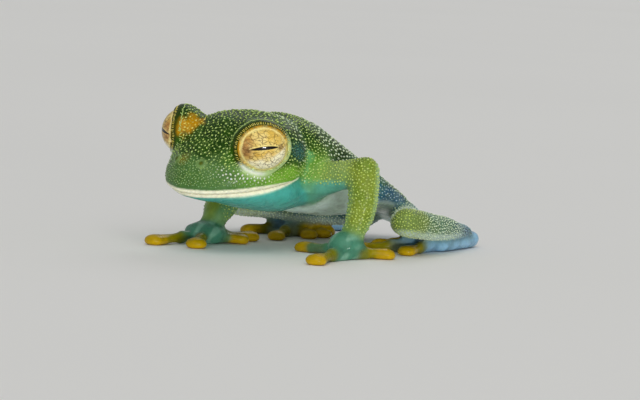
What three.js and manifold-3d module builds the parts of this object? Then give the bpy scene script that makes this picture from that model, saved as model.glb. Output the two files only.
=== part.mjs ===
// A glass frog at rest: chest raised on the forelimbs, back sloping to the ground, hind legs folded.
// Millimetres, +Z up. The frog faces -Y and its left side is +X.
// It is shaped round the middle of its upper lip (0, 0) above a floor at Z = 0, parted by thin cuts,
// and moved at the end so that the origin is the bottom centre of its box.

import * as THREE from 'three';
import * as BufferGeometryUtils from 'three/addons/utils/BufferGeometryUtils.js';
import Module from 'manifold-3d';

const wasm = await Module();
wasm.setup();

// Cuts and rims
const GAP = 0.3; // width of the slit between two neighbouring pieces
const FACET_TOLERANCE = 0.05; // how far a facet may leave the shape it stands for
const FAR = 40; // reach of a cutting block, past the whole animal

// Head
const HEAD_ROLL = THREE.MathUtils.degToRad(4.2); // left cheek lower than the right one
const ROLL_AXIS_HEIGHT = 7;
const NECK_Y = 10.6; // plane between head and trunk
const LIP_HEIGHT = 5.05; // mouth line at the tip of the snout
const LIP_SLOPE = 0.185; // rise of the mouth line for each mm back
const HEAD_HALF_WIDTH = 5.55; // at the corners of the mouth
const HEAD_WIDEST_Y = 9.3;
const NAPE_TAPER = 0.25; // narrowing of the skull for each mm behind NAPE_Y
const NAPE_Y = 8.6;
const LOWER_LIP_INSET = 0.3;
const MOUTH_OVERLAP = 0.6; // how far skull and jaw reach past the mouth line before they are parted

// Eyes
const EYE_HALF = { along: 2.15, deep: 1.85, tall: 1.95 }; // deep is measured along the line of sight
const EYE_CENTRE = { x: 4.56, y: 4.85, z: 9.62 };
const EYE_GAP = 0.2;
const EYE_TURN = THREE.MathUtils.degToRad(55); // between straight ahead and the line of sight
const EYE_LIFT = THREE.MathUtils.degToRad(-3);
const LID_DEPTH = 0.38; // how far the rounded swelling of both lids stands out from the eye
const LID_PLANE = 0.6; // opening of the lids, measured from the middle of the eye

// Digits
const DIGIT_RADIUS = 0.44;
const FINGER_DISC = { width: 2.1, length: 2.3, height: 0.95 };
const TOE_DISC = { width: 1.9, length: 2.1, height: 0.9 };
const FINGER_CUT = 0.52; // share of a finger that belongs to the hand
const TOE_CUT = 0.6; // share of a toe that belongs to the foot
const INNER_WEB = 0.42; // share of the inner two fingers that the web joins
const OUTER_WEB = 0.7; // and of the outer two
const TOE_WEB = 0.72;
const WEB_THICKNESS = 0.6;
const WEB_HOLLOW = 0.35; // how deep the edge of the web runs in between two digits

const colours = {
  back: { color: 0x4f7f1e, roughness: 0.38 },
  throat: { color: 0x62b0a6, roughness: 0.4 },
  arm: { color: 0x9aa93c, roughness: 0.38 },
  leg: { color: 0x7c9a78, roughness: 0.4 },
  palm: { color: 0x6fa79b, roughness: 0.35 },
  digit: { color: 0xd9a21b, roughness: 0.3 },
  iris: { color: 0xc9a66b, roughness: 0.12 },
};

// Closed bodies from three.js geometry

function toSolid(geometry) {
  geometry.deleteAttribute('normal');
  geometry.deleteAttribute('uv');
  const welded = BufferGeometryUtils.mergeVertices(geometry, 1e-4);
  const place = welded.attributes.position.array;
  const corners = new Uint32Array(welded.index.array);
  let volume = 0;
  const [a, b, c] = [new THREE.Vector3(), new THREE.Vector3(), new THREE.Vector3()];
  for (let i = 0; i < corners.length; i += 3) {
    a.fromArray(place, 3 * corners[i]);
    b.fromArray(place, 3 * corners[i + 1]);
    c.fromArray(place, 3 * corners[i + 2]);
    volume += a.dot(b.cross(c));
  }
  if (volume < 0) {
    for (let i = 0; i < corners.length; i += 3) {
      [corners[i + 1], corners[i + 2]] = [corners[i + 2], corners[i + 1]];
    }
  }
  const mesh = new wasm.Mesh({ numProp: 3, vertProperties: new Float32Array(place), triVerts: corners });
  return new wasm.Manifold(mesh);
}

function toGeometry(solid) {
  const mesh = solid.simplify(FACET_TOLERANCE).getMesh();
  const geometry = new THREE.BufferGeometry();
  geometry.setAttribute('position', new THREE.BufferAttribute(mesh.vertProperties, 3));
  geometry.setIndex(new THREE.BufferAttribute(mesh.triVerts, 1));
  geometry.computeVertexNormals();
  return geometry;
}

const join = (...solids) => solids.reduce((all, next) => all.add(next));
const cut = (solid, ...tools) => tools.reduce((left, tool) => left.subtract(tool), solid);

// A sphere whose rows and columns are moved to section(along 0..1, angle).
function drape(section, sides, rows) {
  const geometry = new THREE.SphereGeometry(1, sides, rows);
  const place = geometry.attributes.position;
  const point = new THREE.Vector3();
  for (let i = 0; i < place.count; i += 1) {
    point.fromBufferAttribute(place, i);
    const along = Math.acos(THREE.MathUtils.clamp(point.y, -1, 1)) / Math.PI;
    const moved = section(along, Math.atan2(point.z, point.x));
    place.setXYZ(i, moved.x, moved.y, moved.z);
  }
  return toSolid(geometry);
}

// A rounded limb through the given centres. sizes holds [half width, half depth] at each centre,
// and facing is the direction in which the depth is measured.
function limb({ centres, sizes, facing = [0, 0, 1], sides = 10, rows = 11 }, grow = 0) {
  const points = centres.map((centre) => new THREE.Vector3(...centre));
  const path = new THREE.CatmullRomCurve3(points, false, 'centripetal');
  const girth = new THREE.SplineCurve(sizes.map((s) => new THREE.Vector2(...s)));
  const capRows = Math.round(rows * 0.27);
  const capShare = capRows / rows;
  const up = new THREE.Vector3(...facing);
  return drape((along, angle) => {
    const t = THREE.MathUtils.clamp((along - capShare) / (1 - 2 * capShare), 0, 1);
    const half = girth.getPoint(t);
    const [wide, deep] = [half.x + grow, half.y + grow];
    let swell = 1;
    let reach = 0;
    if (along < capShare) {
      swell = Math.sin((along / capShare) * (Math.PI / 2));
      reach = -Math.cos((along / capShare) * (Math.PI / 2));
    } else if (along > 1 - capShare) {
      swell = Math.sin(((1 - along) / capShare) * (Math.PI / 2));
      reach = Math.cos(((1 - along) / capShare) * (Math.PI / 2));
    }
    const ahead = path.getTangent(t);
    const across = new THREE.Vector3().crossVectors(ahead, up).normalize();
    const over = new THREE.Vector3().crossVectors(across, ahead);
    return path
      .getPoint(t)
      .addScaledVector(ahead, (reach * (wide + deep)) / 2)
      .addScaledVector(across, wide * swell * Math.cos(angle))
      .addScaledVector(over, deep * swell * Math.sin(angle));
  }, sides, rows);
}

function ball(centre, halfSizes, sides, rows) {
  const geometry = new THREE.SphereGeometry(1, sides, rows);
  geometry.scale(...halfSizes).translate(...centre);
  return toSolid(geometry);
}

function block(low, high) {
  const size = high.map((value, axis) => value - low[axis]);
  const geometry = new THREE.BoxGeometry(...size);
  geometry.translate(...low.map((value, axis) => value + size[axis] / 2));
  return toSolid(geometry);
}

const onFloor = (solid) => solid.intersect(block([-FAR, -FAR, 0], [FAR, FAR, FAR]));

// Rounded end of a long body: 0 at the tip, 1 from the given length on.
const roundEnd = (distance, length) => {
  const share = THREE.MathUtils.clamp(distance / length, 0, 1);
  return Math.sqrt(1 - (1 - share) ** 2);
};

// A body along Y from rows of [y, half width, top, bottom]. waist is the share of the height at which
// it is widest, and flatness(y) is 2 for an ellipse and more for a boxier section.
function barrel({ rows, startCap, endCap, waist, flatness, sides, rings }, grow = 0) {
  const first = rows[0][0] - grow;
  const last = rows[rows.length - 1][0] + grow;
  const sizeAt = (y, column) => {
    const next = rows.findIndex((row) => row[0] > y);
    const at = next < 0 ? rows.length - 1 : Math.max(next, 1);
    const [before, after] = [rows[at - 1], rows[at]];
    const share = THREE.MathUtils.clamp((y - before[0]) / (after[0] - before[0]), 0, 1);
    const slope = (i) => {
      const [p, q] = [rows[Math.max(i - 1, 0)], rows[Math.min(i + 1, rows.length - 1)]];
      return ((q[column] - p[column]) / (q[0] - p[0])) * (after[0] - before[0]);
    };
    const [s2, s3] = [share ** 2, share ** 3];
    return before[column] * (2 * s3 - 3 * s2 + 1) + slope(at - 1) * (s3 - 2 * s2 + share)
      + after[column] * (3 * s2 - 2 * s3) + slope(at) * (s3 - s2);
  };
  return drape((along, angle) => {
    const y = first + ((last - first) * (1 - Math.cos(Math.PI * along))) / 2;
    const end = roundEnd(y - first, startCap) * roundEnd(last - y, endCap);
    const inside = THREE.MathUtils.clamp(y, rows[0][0], rows[rows.length - 1][0]);
    const [half, top, bottom] = [1, 2, 3].map((column) => sizeAt(inside, column));
    const middle = bottom + (top - bottom) * waist;
    const [cos, sin] = [Math.cos(angle), Math.sin(angle)];
    const power = 2 / flatness(y);
    const height = (sin > 0 ? top - middle : middle - bottom) + grow;
    return new THREE.Vector3(
      (half + grow) * end * Math.sign(cos) * Math.abs(cos) ** power,
      y,
      middle + height * end * Math.sign(sin) * Math.abs(sin) ** power,
    );
  }, sides, rings);
}

// Head, in a frame that is rolled as the last step

const rolled = (solid) => solid
  .translate(0, 0, -ROLL_AXIS_HEIGHT)
  .rotate(0, THREE.MathUtils.radToDeg(HEAD_ROLL), 0)
  .translate(0, 0, ROLL_AXIS_HEIGHT);

const mouthHeight = (y) => LIP_HEIGHT + LIP_SLOPE * y;

// Half width of the upper lip, seen from above: a blunt round snout that widens to the jaw corners.
function lipHalfWidth(y) {
  const share = THREE.MathUtils.clamp(1 - y / HEAD_WIDEST_Y, 0, 1);
  return HEAD_HALF_WIDTH * (1 - share ** 2.5) ** (1 / 1.75);
}

// Everything above the mouth line, as a slanted slab of space. raise moves its lower face up.
function aboveMouth(raise) {
  const geometry = new THREE.BoxGeometry(FAR, FAR, FAR);
  geometry.translate(0, 0, FAR / 2 + raise);
  geometry.rotateX(Math.atan(LIP_SLOPE));
  geometry.translate(0, 0, LIP_HEIGHT);
  return toSolid(geometry);
}

// Rounded in front, broad and flat between the eyes.
function skullFlatness(y) {
  const share = THREE.MathUtils.smoothstep(y, 1, 5.5);
  return THREE.MathUtils.lerp(2.1, 2.65, share);
}

// Crown of the skull: [y, height].
const CROWN = [
  [0, 6.6], [0.5, 7.35], [1.2, 8.15], [2.2, 9.15], [3.4, 10.4],
  [4.6, 11.3], [6, 11.7], [8, 11.9], [10, 12.0], [12, 11.95],
];

function skullShape() {
  const rows = CROWN.map(([y, top]) => {
    const half = lipHalfWidth(y) - NAPE_TAPER * Math.max(0, y - NAPE_Y);
    return [y, half, top, mouthHeight(y) - MOUTH_OVERLAP];
  });
  const shape = { rows, startCap: 0.9, endCap: 1, waist: 0.13, flatness: skullFlatness };
  return barrel({ ...shape, sides: 24, rings: 16 });
}

// Underside of the jaw: [y, height].
const CHIN = [[0.15, 4.85], [1, 4.65], [2.5, 4.5], [4.2, 4.3], [6, 3.95], [8.3, 3.5]];

// Pouch of the throat behind it: [y, half width, top, bottom].
const POUCH = [
  [10.4, 4.9, 6.9, 3.3],
  [12.2, 3.9, 6.2, 3.5],
  [13.4, 2.9, 5.6, 3.9],
  [14.2, 2.2, 5.1, 4.2],
];

function throatShape(grow = 0) {
  const chin = CHIN.map(([y, bottom]) => {
    return [y, lipHalfWidth(y) - LOWER_LIP_INSET, mouthHeight(y) + MOUTH_OVERLAP, bottom];
  });
  const rows = [...chin, ...POUCH];
  const shape = { rows, startCap: 0.8, endCap: 1.4, waist: 0.62, flatness: () => 2.1 };
  return barrel({ ...shape, sides: 20, rings: 14 }, grow);
}

// Turns a body that looks along -Y into the line of sight of one eye, and sets it in its place.
function lookingOut(geometry, side) {
  geometry.rotateX(-EYE_LIFT);
  geometry.rotateZ(side * EYE_TURN);
  geometry.translate(side * EYE_CENTRE.x, EYE_CENTRE.y, EYE_CENTRE.z);
  return toSolid(geometry);
}

// Space in front of the plane of the lids of one eye.
function outsideLids(side) {
  const geometry = new THREE.BoxGeometry(FAR, FAR, FAR);
  geometry.translate(0, -FAR / 2 - LID_PLANE, 0);
  return lookingOut(geometry, side);
}

// The eyeball, a little flattened along the line of sight, or a body that stands out from it by grow.
function eyeball(side, grow = 0) {
  const geometry = new THREE.SphereGeometry(1, 14, 8);
  geometry.rotateX(Math.PI / 2);
  geometry.scale(EYE_HALF.along + grow, EYE_HALF.deep + grow, EYE_HALF.tall + grow);
  return lookingOut(geometry, side);
}

// The swelling of both lids round one eye: the part behind the plane of the lids is flesh, and the part
// in front of it is space that the skull leaves free.
const lidBall = (side) => eyeball(side, LID_DEPTH);

function headSolid() {
  const skull = skullShape().intersect(aboveMouth(GAP / 2));
  const withLids = [1, -1].reduce((head, side) => {
    const outside = outsideLids(side);
    const bared = head.subtract(lidBall(side).intersect(outside));
    return bared.add(lidBall(side).subtract(outside));
  }, skull);
  const back = block([-FAR, NECK_Y, -FAR], [FAR, FAR, FAR]);
  return cut(withLids, eyeball(1, EYE_GAP), eyeball(-1, EYE_GAP), back);
}

// The skull without lids and up to the trunk, as a tool that clears the shoulders.
const skullTool = () => skullShape().intersect(block([-FAR, -FAR, -FAR], [FAR, NECK_Y + GAP, FAR]));

function jawSolid(grow = 0) {
  return throatShape(grow).subtract(aboveMouth(grow - GAP / 2));
}

// Trunk

// Boxy at the shoulders, where it meets the skull, and rounder behind.
function trunkFlatness(y) {
  const share = THREE.MathUtils.smoothstep(y, 10, 15);
  return THREE.MathUtils.lerp(2.4, 2.08, share);
}

function trunkSolid() {
  const rows = [
    [8, 5.05, 11.85, 4.6],
    [11, 4.95, 12.0, 3.6],
    [14.5, 4.65, 11.25, 2.95],
    [18, 4.85, 9.3, 2.6],
    [21, 4.95, 7.5, 2.65],
    [24, 4.3, 5.8, 2.8],
    [27, 3.3, 4.2, 2.2],
    [29.2, 2.3, 3.2, 1.2],
    [30.3, 1.6, 2.5, 1.1],
  ];
  const shape = { rows, startCap: 1, endCap: 1.6, waist: 0.46, flatness: trunkFlatness };
  const body = barrel({ ...shape, sides: 20, rings: 13 });
  return body.subtract(block([-FAR, -FAR, -FAR], [FAR, NECK_Y + GAP, FAR]));
}

// Limbs: shapes by name, so that each can be made again a little larger to cut its neighbour

const forelimbs = {
  left: {
    upper: {
      centres: [[3.2, 12.7, 5.9], [6.1, 13.0, 6.7], [8.9, 13.4, 7.4]],
      sizes: [[1.6, 1.6], [1.3, 1.3], [1.2, 1.25]],
    },
    fore: {
      centres: [[8.95, 13.3, 7.4], [9.1, 13.2, 5.4], [9.05, 12.9, 3.7], [8.9, 12.4, 2.4]],
      sizes: [[1.25, 1.25], [1.32, 1.27], [1.25, 1.15], [1.1, 0.95]],
      facing: [0, 1, 0],
    },
    palm: { centre: [8.65, 11.7], halves: [1.6, 1.65, 1.35], height: 1.05 },
    digits: [[5.7, 13.7], [3.1, 12.6], [10.7, 5.6], [10.5, 14.9]],
  },
  right: {
    upper: {
      centres: [[-3.2, 12.7, 6.0], [-5.1, 13.5, 6.5], [-6.6, 14.4, 6.5]],
      sizes: [[1.6, 1.6], [1.35, 1.35], [1.2, 1.25]],
    },
    fore: {
      centres: [[-6.6, 14.4, 6.4], [-6.25, 13.1, 4.9], [-5.9, 11.8, 3.4], [-5.6, 10.6, 2.3]],
      sizes: [[1.3, 1.25], [1.5, 1.4], [1.6, 1.4], [1.4, 1.1]],
      facing: [0, 1, 0],
    },
    palm: { centre: [-5.6, 9.4], halves: [2.0, 1.7, 1.15], height: 0.8 },
    digits: [[-3.6, 11.9], [-2.7, 5.3], [-6.3, 3.8], [-4.8, 14.4]],
  },
};

const hindlimbs = {
  left: {
    thigh: {
      centres: [[2.5, 27.0, 2.2], [6.5, 22.2, 2.5], [10.5, 17.1, 2.95]],
      sizes: [[1.4, 1.3], [1.5, 1.2], [1.15, 1.15]],
    },
    shank: {
      centres: [[10.8, 16.9, 3.05], [9.7, 22.6, 2.3], [7.75, 28.7, 1.5]],
      sizes: [[1.25, 1.3], [1.4, 1.1], [0.8, 0.62]],
    },
    heel: [7.3, 30.3],
    ball: [8.4, 24.2],
    digits: [[5.1, 24.9], [4.2, 23.1], [4.3, 21.0], [5.2, 16.7], [9.3, 18.9]],
  },
  right: {
    thigh: {
      centres: [[-2.5, 27.0, 2.2], [-6.3, 22.2, 2.5], [-10.1, 17.3, 2.95]],
      sizes: [[1.4, 1.3], [1.5, 1.2], [1.15, 1.15]],
    },
    shank: {
      centres: [[-10.4, 17.1, 3.05], [-9.5, 22.6, 2.3], [-7.75, 28.6, 1.5]],
      sizes: [[1.25, 1.3], [1.4, 1.1], [0.8, 0.62]],
    },
    heel: [-7.3, 30.2],
    ball: [-8.2, 24.2],
    digits: [[-5.0, 24.9], [-3.9, 23.1], [-3.8, 21.0], [-4.3, 17.2], [-9.3, 18.9]],
  },
};

// A digit lies along the floor from its root to the middle of its disc, and is made from one share
// of that length on. A toe or finger is slender and then spreads into the disc.
function digit(root, tip, from, size, grow = 0) {
  const neck = 1 - (size.length * 0.62) / Math.hypot(tip[0] - root[0], tip[1] - root[1]);
  const at = (share) => [
    THREE.MathUtils.lerp(root[0], tip[0], share),
    THREE.MathUtils.lerp(root[1], tip[1], share),
    THREE.MathUtils.lerp(0.7, size.height * 0.4, share),
  ];
  const thin = [DIGIT_RADIUS, DIGIT_RADIUS];
  return limb({
    centres: [from, (from + neck) / 2, neck, 1].map(at),
    sizes: [thin, thin, [DIGIT_RADIUS + 0.1, DIGIT_RADIUS], [size.width / 2, size.height * 0.6]],
    sides: grow > 0 ? 6 : 8,
    rows: 8,
  }, grow);
}

// The part of a digit that stays with the hand or foot.
function digitRoot(root, tip, to) {
  const at = (share) => [
    THREE.MathUtils.lerp(root[0], tip[0], share),
    THREE.MathUtils.lerp(root[1], tip[1], share),
    THREE.MathUtils.lerp(0.7, 0.6, share),
  ];
  const thick = DIGIT_RADIUS + 0.12;
  const sizes = [[thick, thick], [thick, DIGIT_RADIUS]];
  return limb({ centres: [0.1, to].map(at), sizes, sides: 6, rows: 6 });
}

// Skin between neighbouring digits: a thin fan with a hollow edge from digit to digit.
function web(root, digits, reach) {
  const centre = new THREE.Vector2(...root);
  const edge = digits.map((tip) => centre.clone().lerp(new THREE.Vector2(...tip), reach));
  const outline = new THREE.Shape();
  outline.moveTo(centre.x, centre.y);
  outline.lineTo(edge[0].x, edge[0].y);
  for (let i = 1; i < edge.length; i += 1) {
    const hollow = edge[i - 1].clone().add(edge[i]).multiplyScalar(0.5).lerp(centre, WEB_HOLLOW);
    outline.quadraticCurveTo(hollow.x, hollow.y, edge[i].x, edge[i].y);
  }
  outline.closePath();
  const shape = { depth: WEB_THICKNESS, bevelEnabled: false, curveSegments: 3 };
  return toSolid(new THREE.ExtrudeGeometry(outline, shape));
}

function handSolid(arm) {
  const [x, y] = arm.palm.centre;
  const wrist = arm.fore.centres[3];
  const palm = ball([x, y, arm.palm.height], arm.palm.halves, 10, 6);
  const carpus = limb({
    centres: [[wrist[0], wrist[1], wrist[2] - 0.4], [x, y, arm.palm.height]],
    sizes: [[1.05, 0.9], [1.4, 1.0]],
    sides: 8,
    rows: 6,
  });
  const roots = arm.digits.map((tip) => digitRoot([x, y], tip, FINGER_CUT));
  const webs = [
    web([x, y], [arm.digits[0], arm.digits[1]], INNER_WEB),
    web([x, y], [arm.digits[2], arm.digits[3]], OUTER_WEB),
  ];
  const whole = onFloor(join(palm, carpus, ...roots, ...webs));
  const fingers = arm.digits.map((tip) => digit([x, y], tip, FINGER_CUT, FINGER_DISC, GAP));
  return cut(whole, limb(arm.fore, GAP), ...fingers);
}

function footSolid(leg) {
  const [heel, root] = [leg.heel, leg.ball];
  const bend = (heel[0] + root[0]) / 2 + 0.25 * Math.sign(heel[0]);
  const tarsus = limb({
    centres: [[heel[0], heel[1], 0.75], [bend, (heel[1] + root[1]) / 2, 0.6], [root[0], root[1], 0.55]],
    sizes: [[0.8, 0.8], [0.85, 0.62], [1.15, 0.6]],
    sides: 8,
    rows: 7,
  });
  const roots = leg.digits.map((tip) => digitRoot(root, tip, TOE_CUT));
  const whole = onFloor(join(tarsus, ...roots, web(root, leg.digits, TOE_WEB)));
  const toes = leg.digits.map((tip) => digit(root, tip, TOE_CUT, TOE_DISC, GAP));
  return cut(whole, limb(leg.shank, GAP), ...toes);
}

// The whole animal, by name

const pieces = [];
const add = (name, solid, look) => pieces.push({ name, solid, look });

add('head', rolled(headSolid()), colours.back);
add('lower_jaw', rolled(jawSolid()), colours.throat);
for (const [name, side] of [['left', 1], ['right', -1]]) {
  add(`eye_${name}`, rolled(eyeball(side)), colours.iris);
}

let trunk = trunkSolid().subtract(rolled(throatShape(GAP)));
for (const name of ['left', 'right']) {
  const arm = forelimbs[name];
  const leg = hindlimbs[name];
  trunk = cut(trunk, limb(arm.upper, GAP), limb(leg.thigh, GAP));
  const neighbours = [rolled(skullTool()), rolled(throatShape(GAP))];
  add(`upper_arm_${name}`, cut(limb(arm.upper), limb(arm.fore, GAP), ...neighbours), colours.arm);
  add(`forearm_${name}`, limb(arm.fore), colours.arm);
  add(`hand_${name}`, handSolid(arm), colours.palm);
  arm.digits.forEach((tip, i) => {
    const finger = onFloor(digit(arm.palm.centre, tip, FINGER_CUT, FINGER_DISC));
    add(`finger_${i + 1}_${name}`, finger, colours.digit);
  });
  add(`thigh_${name}`, cut(limb(leg.thigh), limb(leg.shank, GAP)), colours.leg);
  add(`shank_${name}`, limb(leg.shank), colours.leg);
  add(`foot_${name}`, footSolid(leg), colours.palm);
  leg.digits.forEach((tip, i) => {
    const toe = onFloor(digit(leg.ball, tip, TOE_CUT, TOE_DISC));
    add(`toe_${i + 1}_${name}`, toe, colours.digit);
  });
}
add('trunk', trunk, colours.back);

const frog = new THREE.Group();
for (const { name, solid, look } of pieces) {
  const material = new THREE.MeshStandardMaterial({ ...look, metalness: 0 });
  const mesh = new THREE.Mesh(toGeometry(solid), material);
  mesh.name = name;
  frog.add(mesh);
}

const box = new THREE.Box3().setFromObject(frog, true);
const middle = box.getCenter(new THREE.Vector3());
for (const mesh of frog.children) {
  mesh.position.set(-middle.x, -middle.y, -box.min.z);
}

export default frog;
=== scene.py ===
"""A glass frog at rest, with its wet granular skin, its digits and its eyes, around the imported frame.

Sizes in this script are in millimetres and become metres when a mesh is made. The frog faces -Y, its left
side is +X and the floor is at Z = 0.
"""

import math

import bmesh
import bpy
import numpy as np
import openvdb
from mathutils import Matrix, Vector
from mathutils.kdtree import KDTree


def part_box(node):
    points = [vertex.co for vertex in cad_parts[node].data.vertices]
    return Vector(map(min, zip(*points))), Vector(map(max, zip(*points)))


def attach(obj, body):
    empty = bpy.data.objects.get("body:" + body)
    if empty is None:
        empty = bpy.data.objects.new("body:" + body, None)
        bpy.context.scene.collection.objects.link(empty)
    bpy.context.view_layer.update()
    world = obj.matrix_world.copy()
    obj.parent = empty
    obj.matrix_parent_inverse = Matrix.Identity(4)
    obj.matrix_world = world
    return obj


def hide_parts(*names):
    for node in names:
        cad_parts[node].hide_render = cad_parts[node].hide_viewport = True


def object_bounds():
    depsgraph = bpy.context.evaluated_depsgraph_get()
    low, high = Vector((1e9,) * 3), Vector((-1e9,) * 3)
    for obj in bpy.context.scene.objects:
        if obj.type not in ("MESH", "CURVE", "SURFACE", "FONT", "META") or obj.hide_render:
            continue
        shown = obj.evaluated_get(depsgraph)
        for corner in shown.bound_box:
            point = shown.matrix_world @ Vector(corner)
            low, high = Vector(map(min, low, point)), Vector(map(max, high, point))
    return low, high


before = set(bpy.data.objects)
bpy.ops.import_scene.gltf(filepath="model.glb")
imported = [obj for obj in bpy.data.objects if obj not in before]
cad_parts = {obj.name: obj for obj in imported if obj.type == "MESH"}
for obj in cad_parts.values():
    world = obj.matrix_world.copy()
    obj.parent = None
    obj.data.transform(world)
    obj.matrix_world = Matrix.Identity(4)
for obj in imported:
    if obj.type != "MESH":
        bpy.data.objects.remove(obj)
cad_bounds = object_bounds()

MM = 0.001
SIDES = ("left", "right")

# Head. Places on it are to the frog's left of, behind and above the middle of its eyes.
SNOUT_AHEAD = 4.85  # from the middle of the eyes forward to the lip
LIP_BELOW = 4.57  # from the middle of the eyes down to the mouth line, at the snout
LIP_SLOPE = 0.185  # rise of the mouth line for each mm back
MOUTH_CORNER = 5.2
NOSTRIL = (1.45, -3.83, -1.74)  # the left one, and its mirror image on the right
CANTHUS_END = (3.6, -1.4, 0.85)  # where the edge of the muzzle runs into the upper lid
EAR = (4.9, 4.4, -0.4)
EAR_SHAPE = (1, 1.5, 0.85)  # its sizes to the side, back and up, against each other
RIGHT_PATCH = ((-3.1, -2.1, 0.45), (-2.45, -0.7, 1.1))  # ends of the golden patch before the right eye
EAR_FOLD = ((5.2, 2.5, 1.15), (4.9, 4.5, 0.7), (4.5, 6.5, -0.45), (4.6, 7.7, -1.45))  # over the ear

# Eyes
GAZE_TURN = math.radians(55)  # between straight ahead and the line of sight
GAZE_LIFT = math.radians(-1)
EYE_HALF = (2.15, 1.95, 1.85)  # half sizes of the eyeball: to the rear, up and out along the gaze
OPENING = (2.02, 1.79)  # half width and half height of the part of the eye that shows
LID_THICK = 0.26
LID_EDGE = 0.05  # thickness of the lids at the opening
RIM_RADIUS = 0.06  # rolled edge of the lids
EYE_SEGMENTS = 144
FINE_TURN = 76  # degrees from the gaze out to which the mesh of the eyeball is fine
SLIT_HALF = 1.2
SLIT_HALF_HEIGHT = 0.15
SLIT_TILT = math.radians(11)
SLIT_PLACE = {"left": (-0.1, 0.18), "right": (-0.75, 0.05)}  # its middle; the right eye looks forward
SLIT_BLACK = (0.002, 0.0015, 0.001, 1)
FLASH_DISTANCE = 600  # from the left eye
CATCHLIGHT = (-0.17, 0.16)  # where the left eye mirrors the flash, to the rear of and above its middle

PALE_DIGITS = (0, 1, 9, 12)  # digits that are yellow on their disc only, in the order of digit_tips

# Distance field that the skin is made from
CELL = 0.15
BAND = 1.5  # how far from a surface its distance is known
MARGIN = 1.2  # empty room round the whole animal
SLIT_REACH = 0.8  # fillet that closes the slit between two CAD solids
MESH_CELL = 0.235  # quads of the skin, before the head is refined
ROUNDING = {"core": 0.28, "neck": 0.8, "arm": 0.2, "digits": 0.13, "shank": 0.2, "thigh": 0.25}  # blur
FILLET = {"lids": 0.5, "arms": 1.2, "legs": 0.9, "rim": 0.2}  # reach of the soft join to the body

# Coat of granules
TRIES = 9  # random places tried for each granule
DOME_SIDES = 8
PATCH = 0.003  # width of a granule's patch on the unwrapped skin
SUNK = 0.03  # how deep a granule's foot is under the skin
DOME_HEIGHT = 0.42  # of a granule over the skin, for each mm of its width
CROWDING = 0.86  # least distance of two granules, for each mm of their spacing

rng = np.random.default_rng(7)


def linear(hex_colour):
    """Linear RGB of a colour written as six hexadecimal digits."""
    parts = np.array([int(hex_colour[i : i + 2], 16) for i in (0, 2, 4)]) / 255
    return np.where(parts <= 0.04045, parts / 12.92, ((parts + 0.055) / 1.055) ** 2.4)


COLOURS = {
    name: linear(value)
    for name, value in {
        "deep green": "143000",
        "leaf green": "3c6c04",
        "cheek green": "78ac34",
        "muzzle green": "4c7236",
        "nostril rim": "86a862",
        "nostril pit": "4c5a08",
        "lip cream": "fffde0",
        "lip line": "8a7a4a",
        "chin mint": "b4dfc6",
        "throat": "4eb0a4",
        "belly": "e8fcf4",
        "ear teal": "17504a",
        "neck": "5caa7e",
        "flank": "2f8078",
        "arm olive": "7e9030",
        # teal that the upper arm shows in shade, painted on its underside
        "arm shade teal": "62b09a",
        "arm mint": "9cc088",
        "rump": "285a74",
        "thigh": "4a7276",
        "knee": "6e8440",
        "shank": "5c7c62",
        # blue-teal of the heel end of the shank, partly painted shade: darkened for the shadow there
        "ankle": "2c5468",
        "foot": "90bcd8",
        "palm": "468068",
        "wrist": "80a058",
        "web": "747004",
        "digit": "8c7e00",
        "disc": "b09000",
        "disc edge": "cca60c",
        "lid orange": "c08c02",
        "lid shade": "2c3a00",
        "lid mint": "bcd894",
        # pale white of the dots below the eyes, and of the painted highlight on the lower lids
        "pale dot and lid highlight": "e6ecdc",
        "granule green": "b6d070",
        "granule white": "dcebc8",
        "granule yellow": "b2c45c",
        "granule gold": "e6cf58",
        "granule dull": "88a86c",
        "granule teal": "5f9c8c",
        # paler tone painted on the lower half of the iris as light falling on it
        "granule blue": "a0bcc4",
        "iris gold": "deb850",
        "iris cream": "f4e294",
        "iris painted light": "fffad6",
        "iris brown": "6e4c1e",
        "iris rust": "b07c44",
        "iris amber": "d4a01e",
        "iris net": "5a3e12",
        "iris rim": "f8e896",
        "eyeball": "3a2a18",
    }.items()
}


# Small sums


def smooth(value, start, end):
    """0 at start, 1 at end, with a soft run in and out. start may be the larger one."""
    t = np.clip((value - start) / (end - start), 0, 1)
    return t * t * (3 - 2 * t)


def bump_at(value, centre, half_width):
    """1 at the centre, falling softly to 0 at that distance from it."""
    return smooth(np.abs(value - centre), half_width, 0)


def bell(distance, width):
    """1 at distance 0, and about a third at that width."""
    return np.exp(-((distance / width) ** 2))


def blend(first, second, share):
    """Row by row, first where share is 0 and second where it is 1."""
    return first + (second - first) * np.asarray(share)[..., None]


def unit(rows):
    return rows / np.maximum(np.linalg.norm(rows, axis=-1, keepdims=True), 1e-9)


def ripple(points, size, seed):
    """A soft random pattern from about -1 to 1 whose lumps are that many mm across."""
    draw = np.random.default_rng(seed)
    waves = unit(draw.normal(size=(9, 3))) * draw.uniform(0.7, 1.3, (9, 1)) * math.pi / size
    return np.sin(points @ waves.T + draw.uniform(0, 2 * math.pi, 9)).sum(axis=1) / 3


def to_segment(points, start, end):
    """Distance of every point from a straight line between two places."""
    start, end = np.array(start), np.array(end)
    run = end - start
    share = np.clip((points - start) @ run / (run @ run), 0, 1)
    return np.linalg.norm(points - start - share[:, None] * run, axis=1)


def to_line(points, stops):
    """Distance of every point from a bent line."""
    return np.minimum.reduce([to_segment(points, a, b) for a, b in zip(stops, stops[1:])])


# Places that come from the frame


def box_mm(node):
    return [np.array(corner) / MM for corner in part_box(node)]


def middle(node):
    low, high = box_mm(node)
    return (low + high) / 2


EYES = {side: middle(f"eye_{side}") for side in SIDES}
NECK = box_mm("head")[1][1]
TAIL = box_mm("trunk")[1][1]


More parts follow.
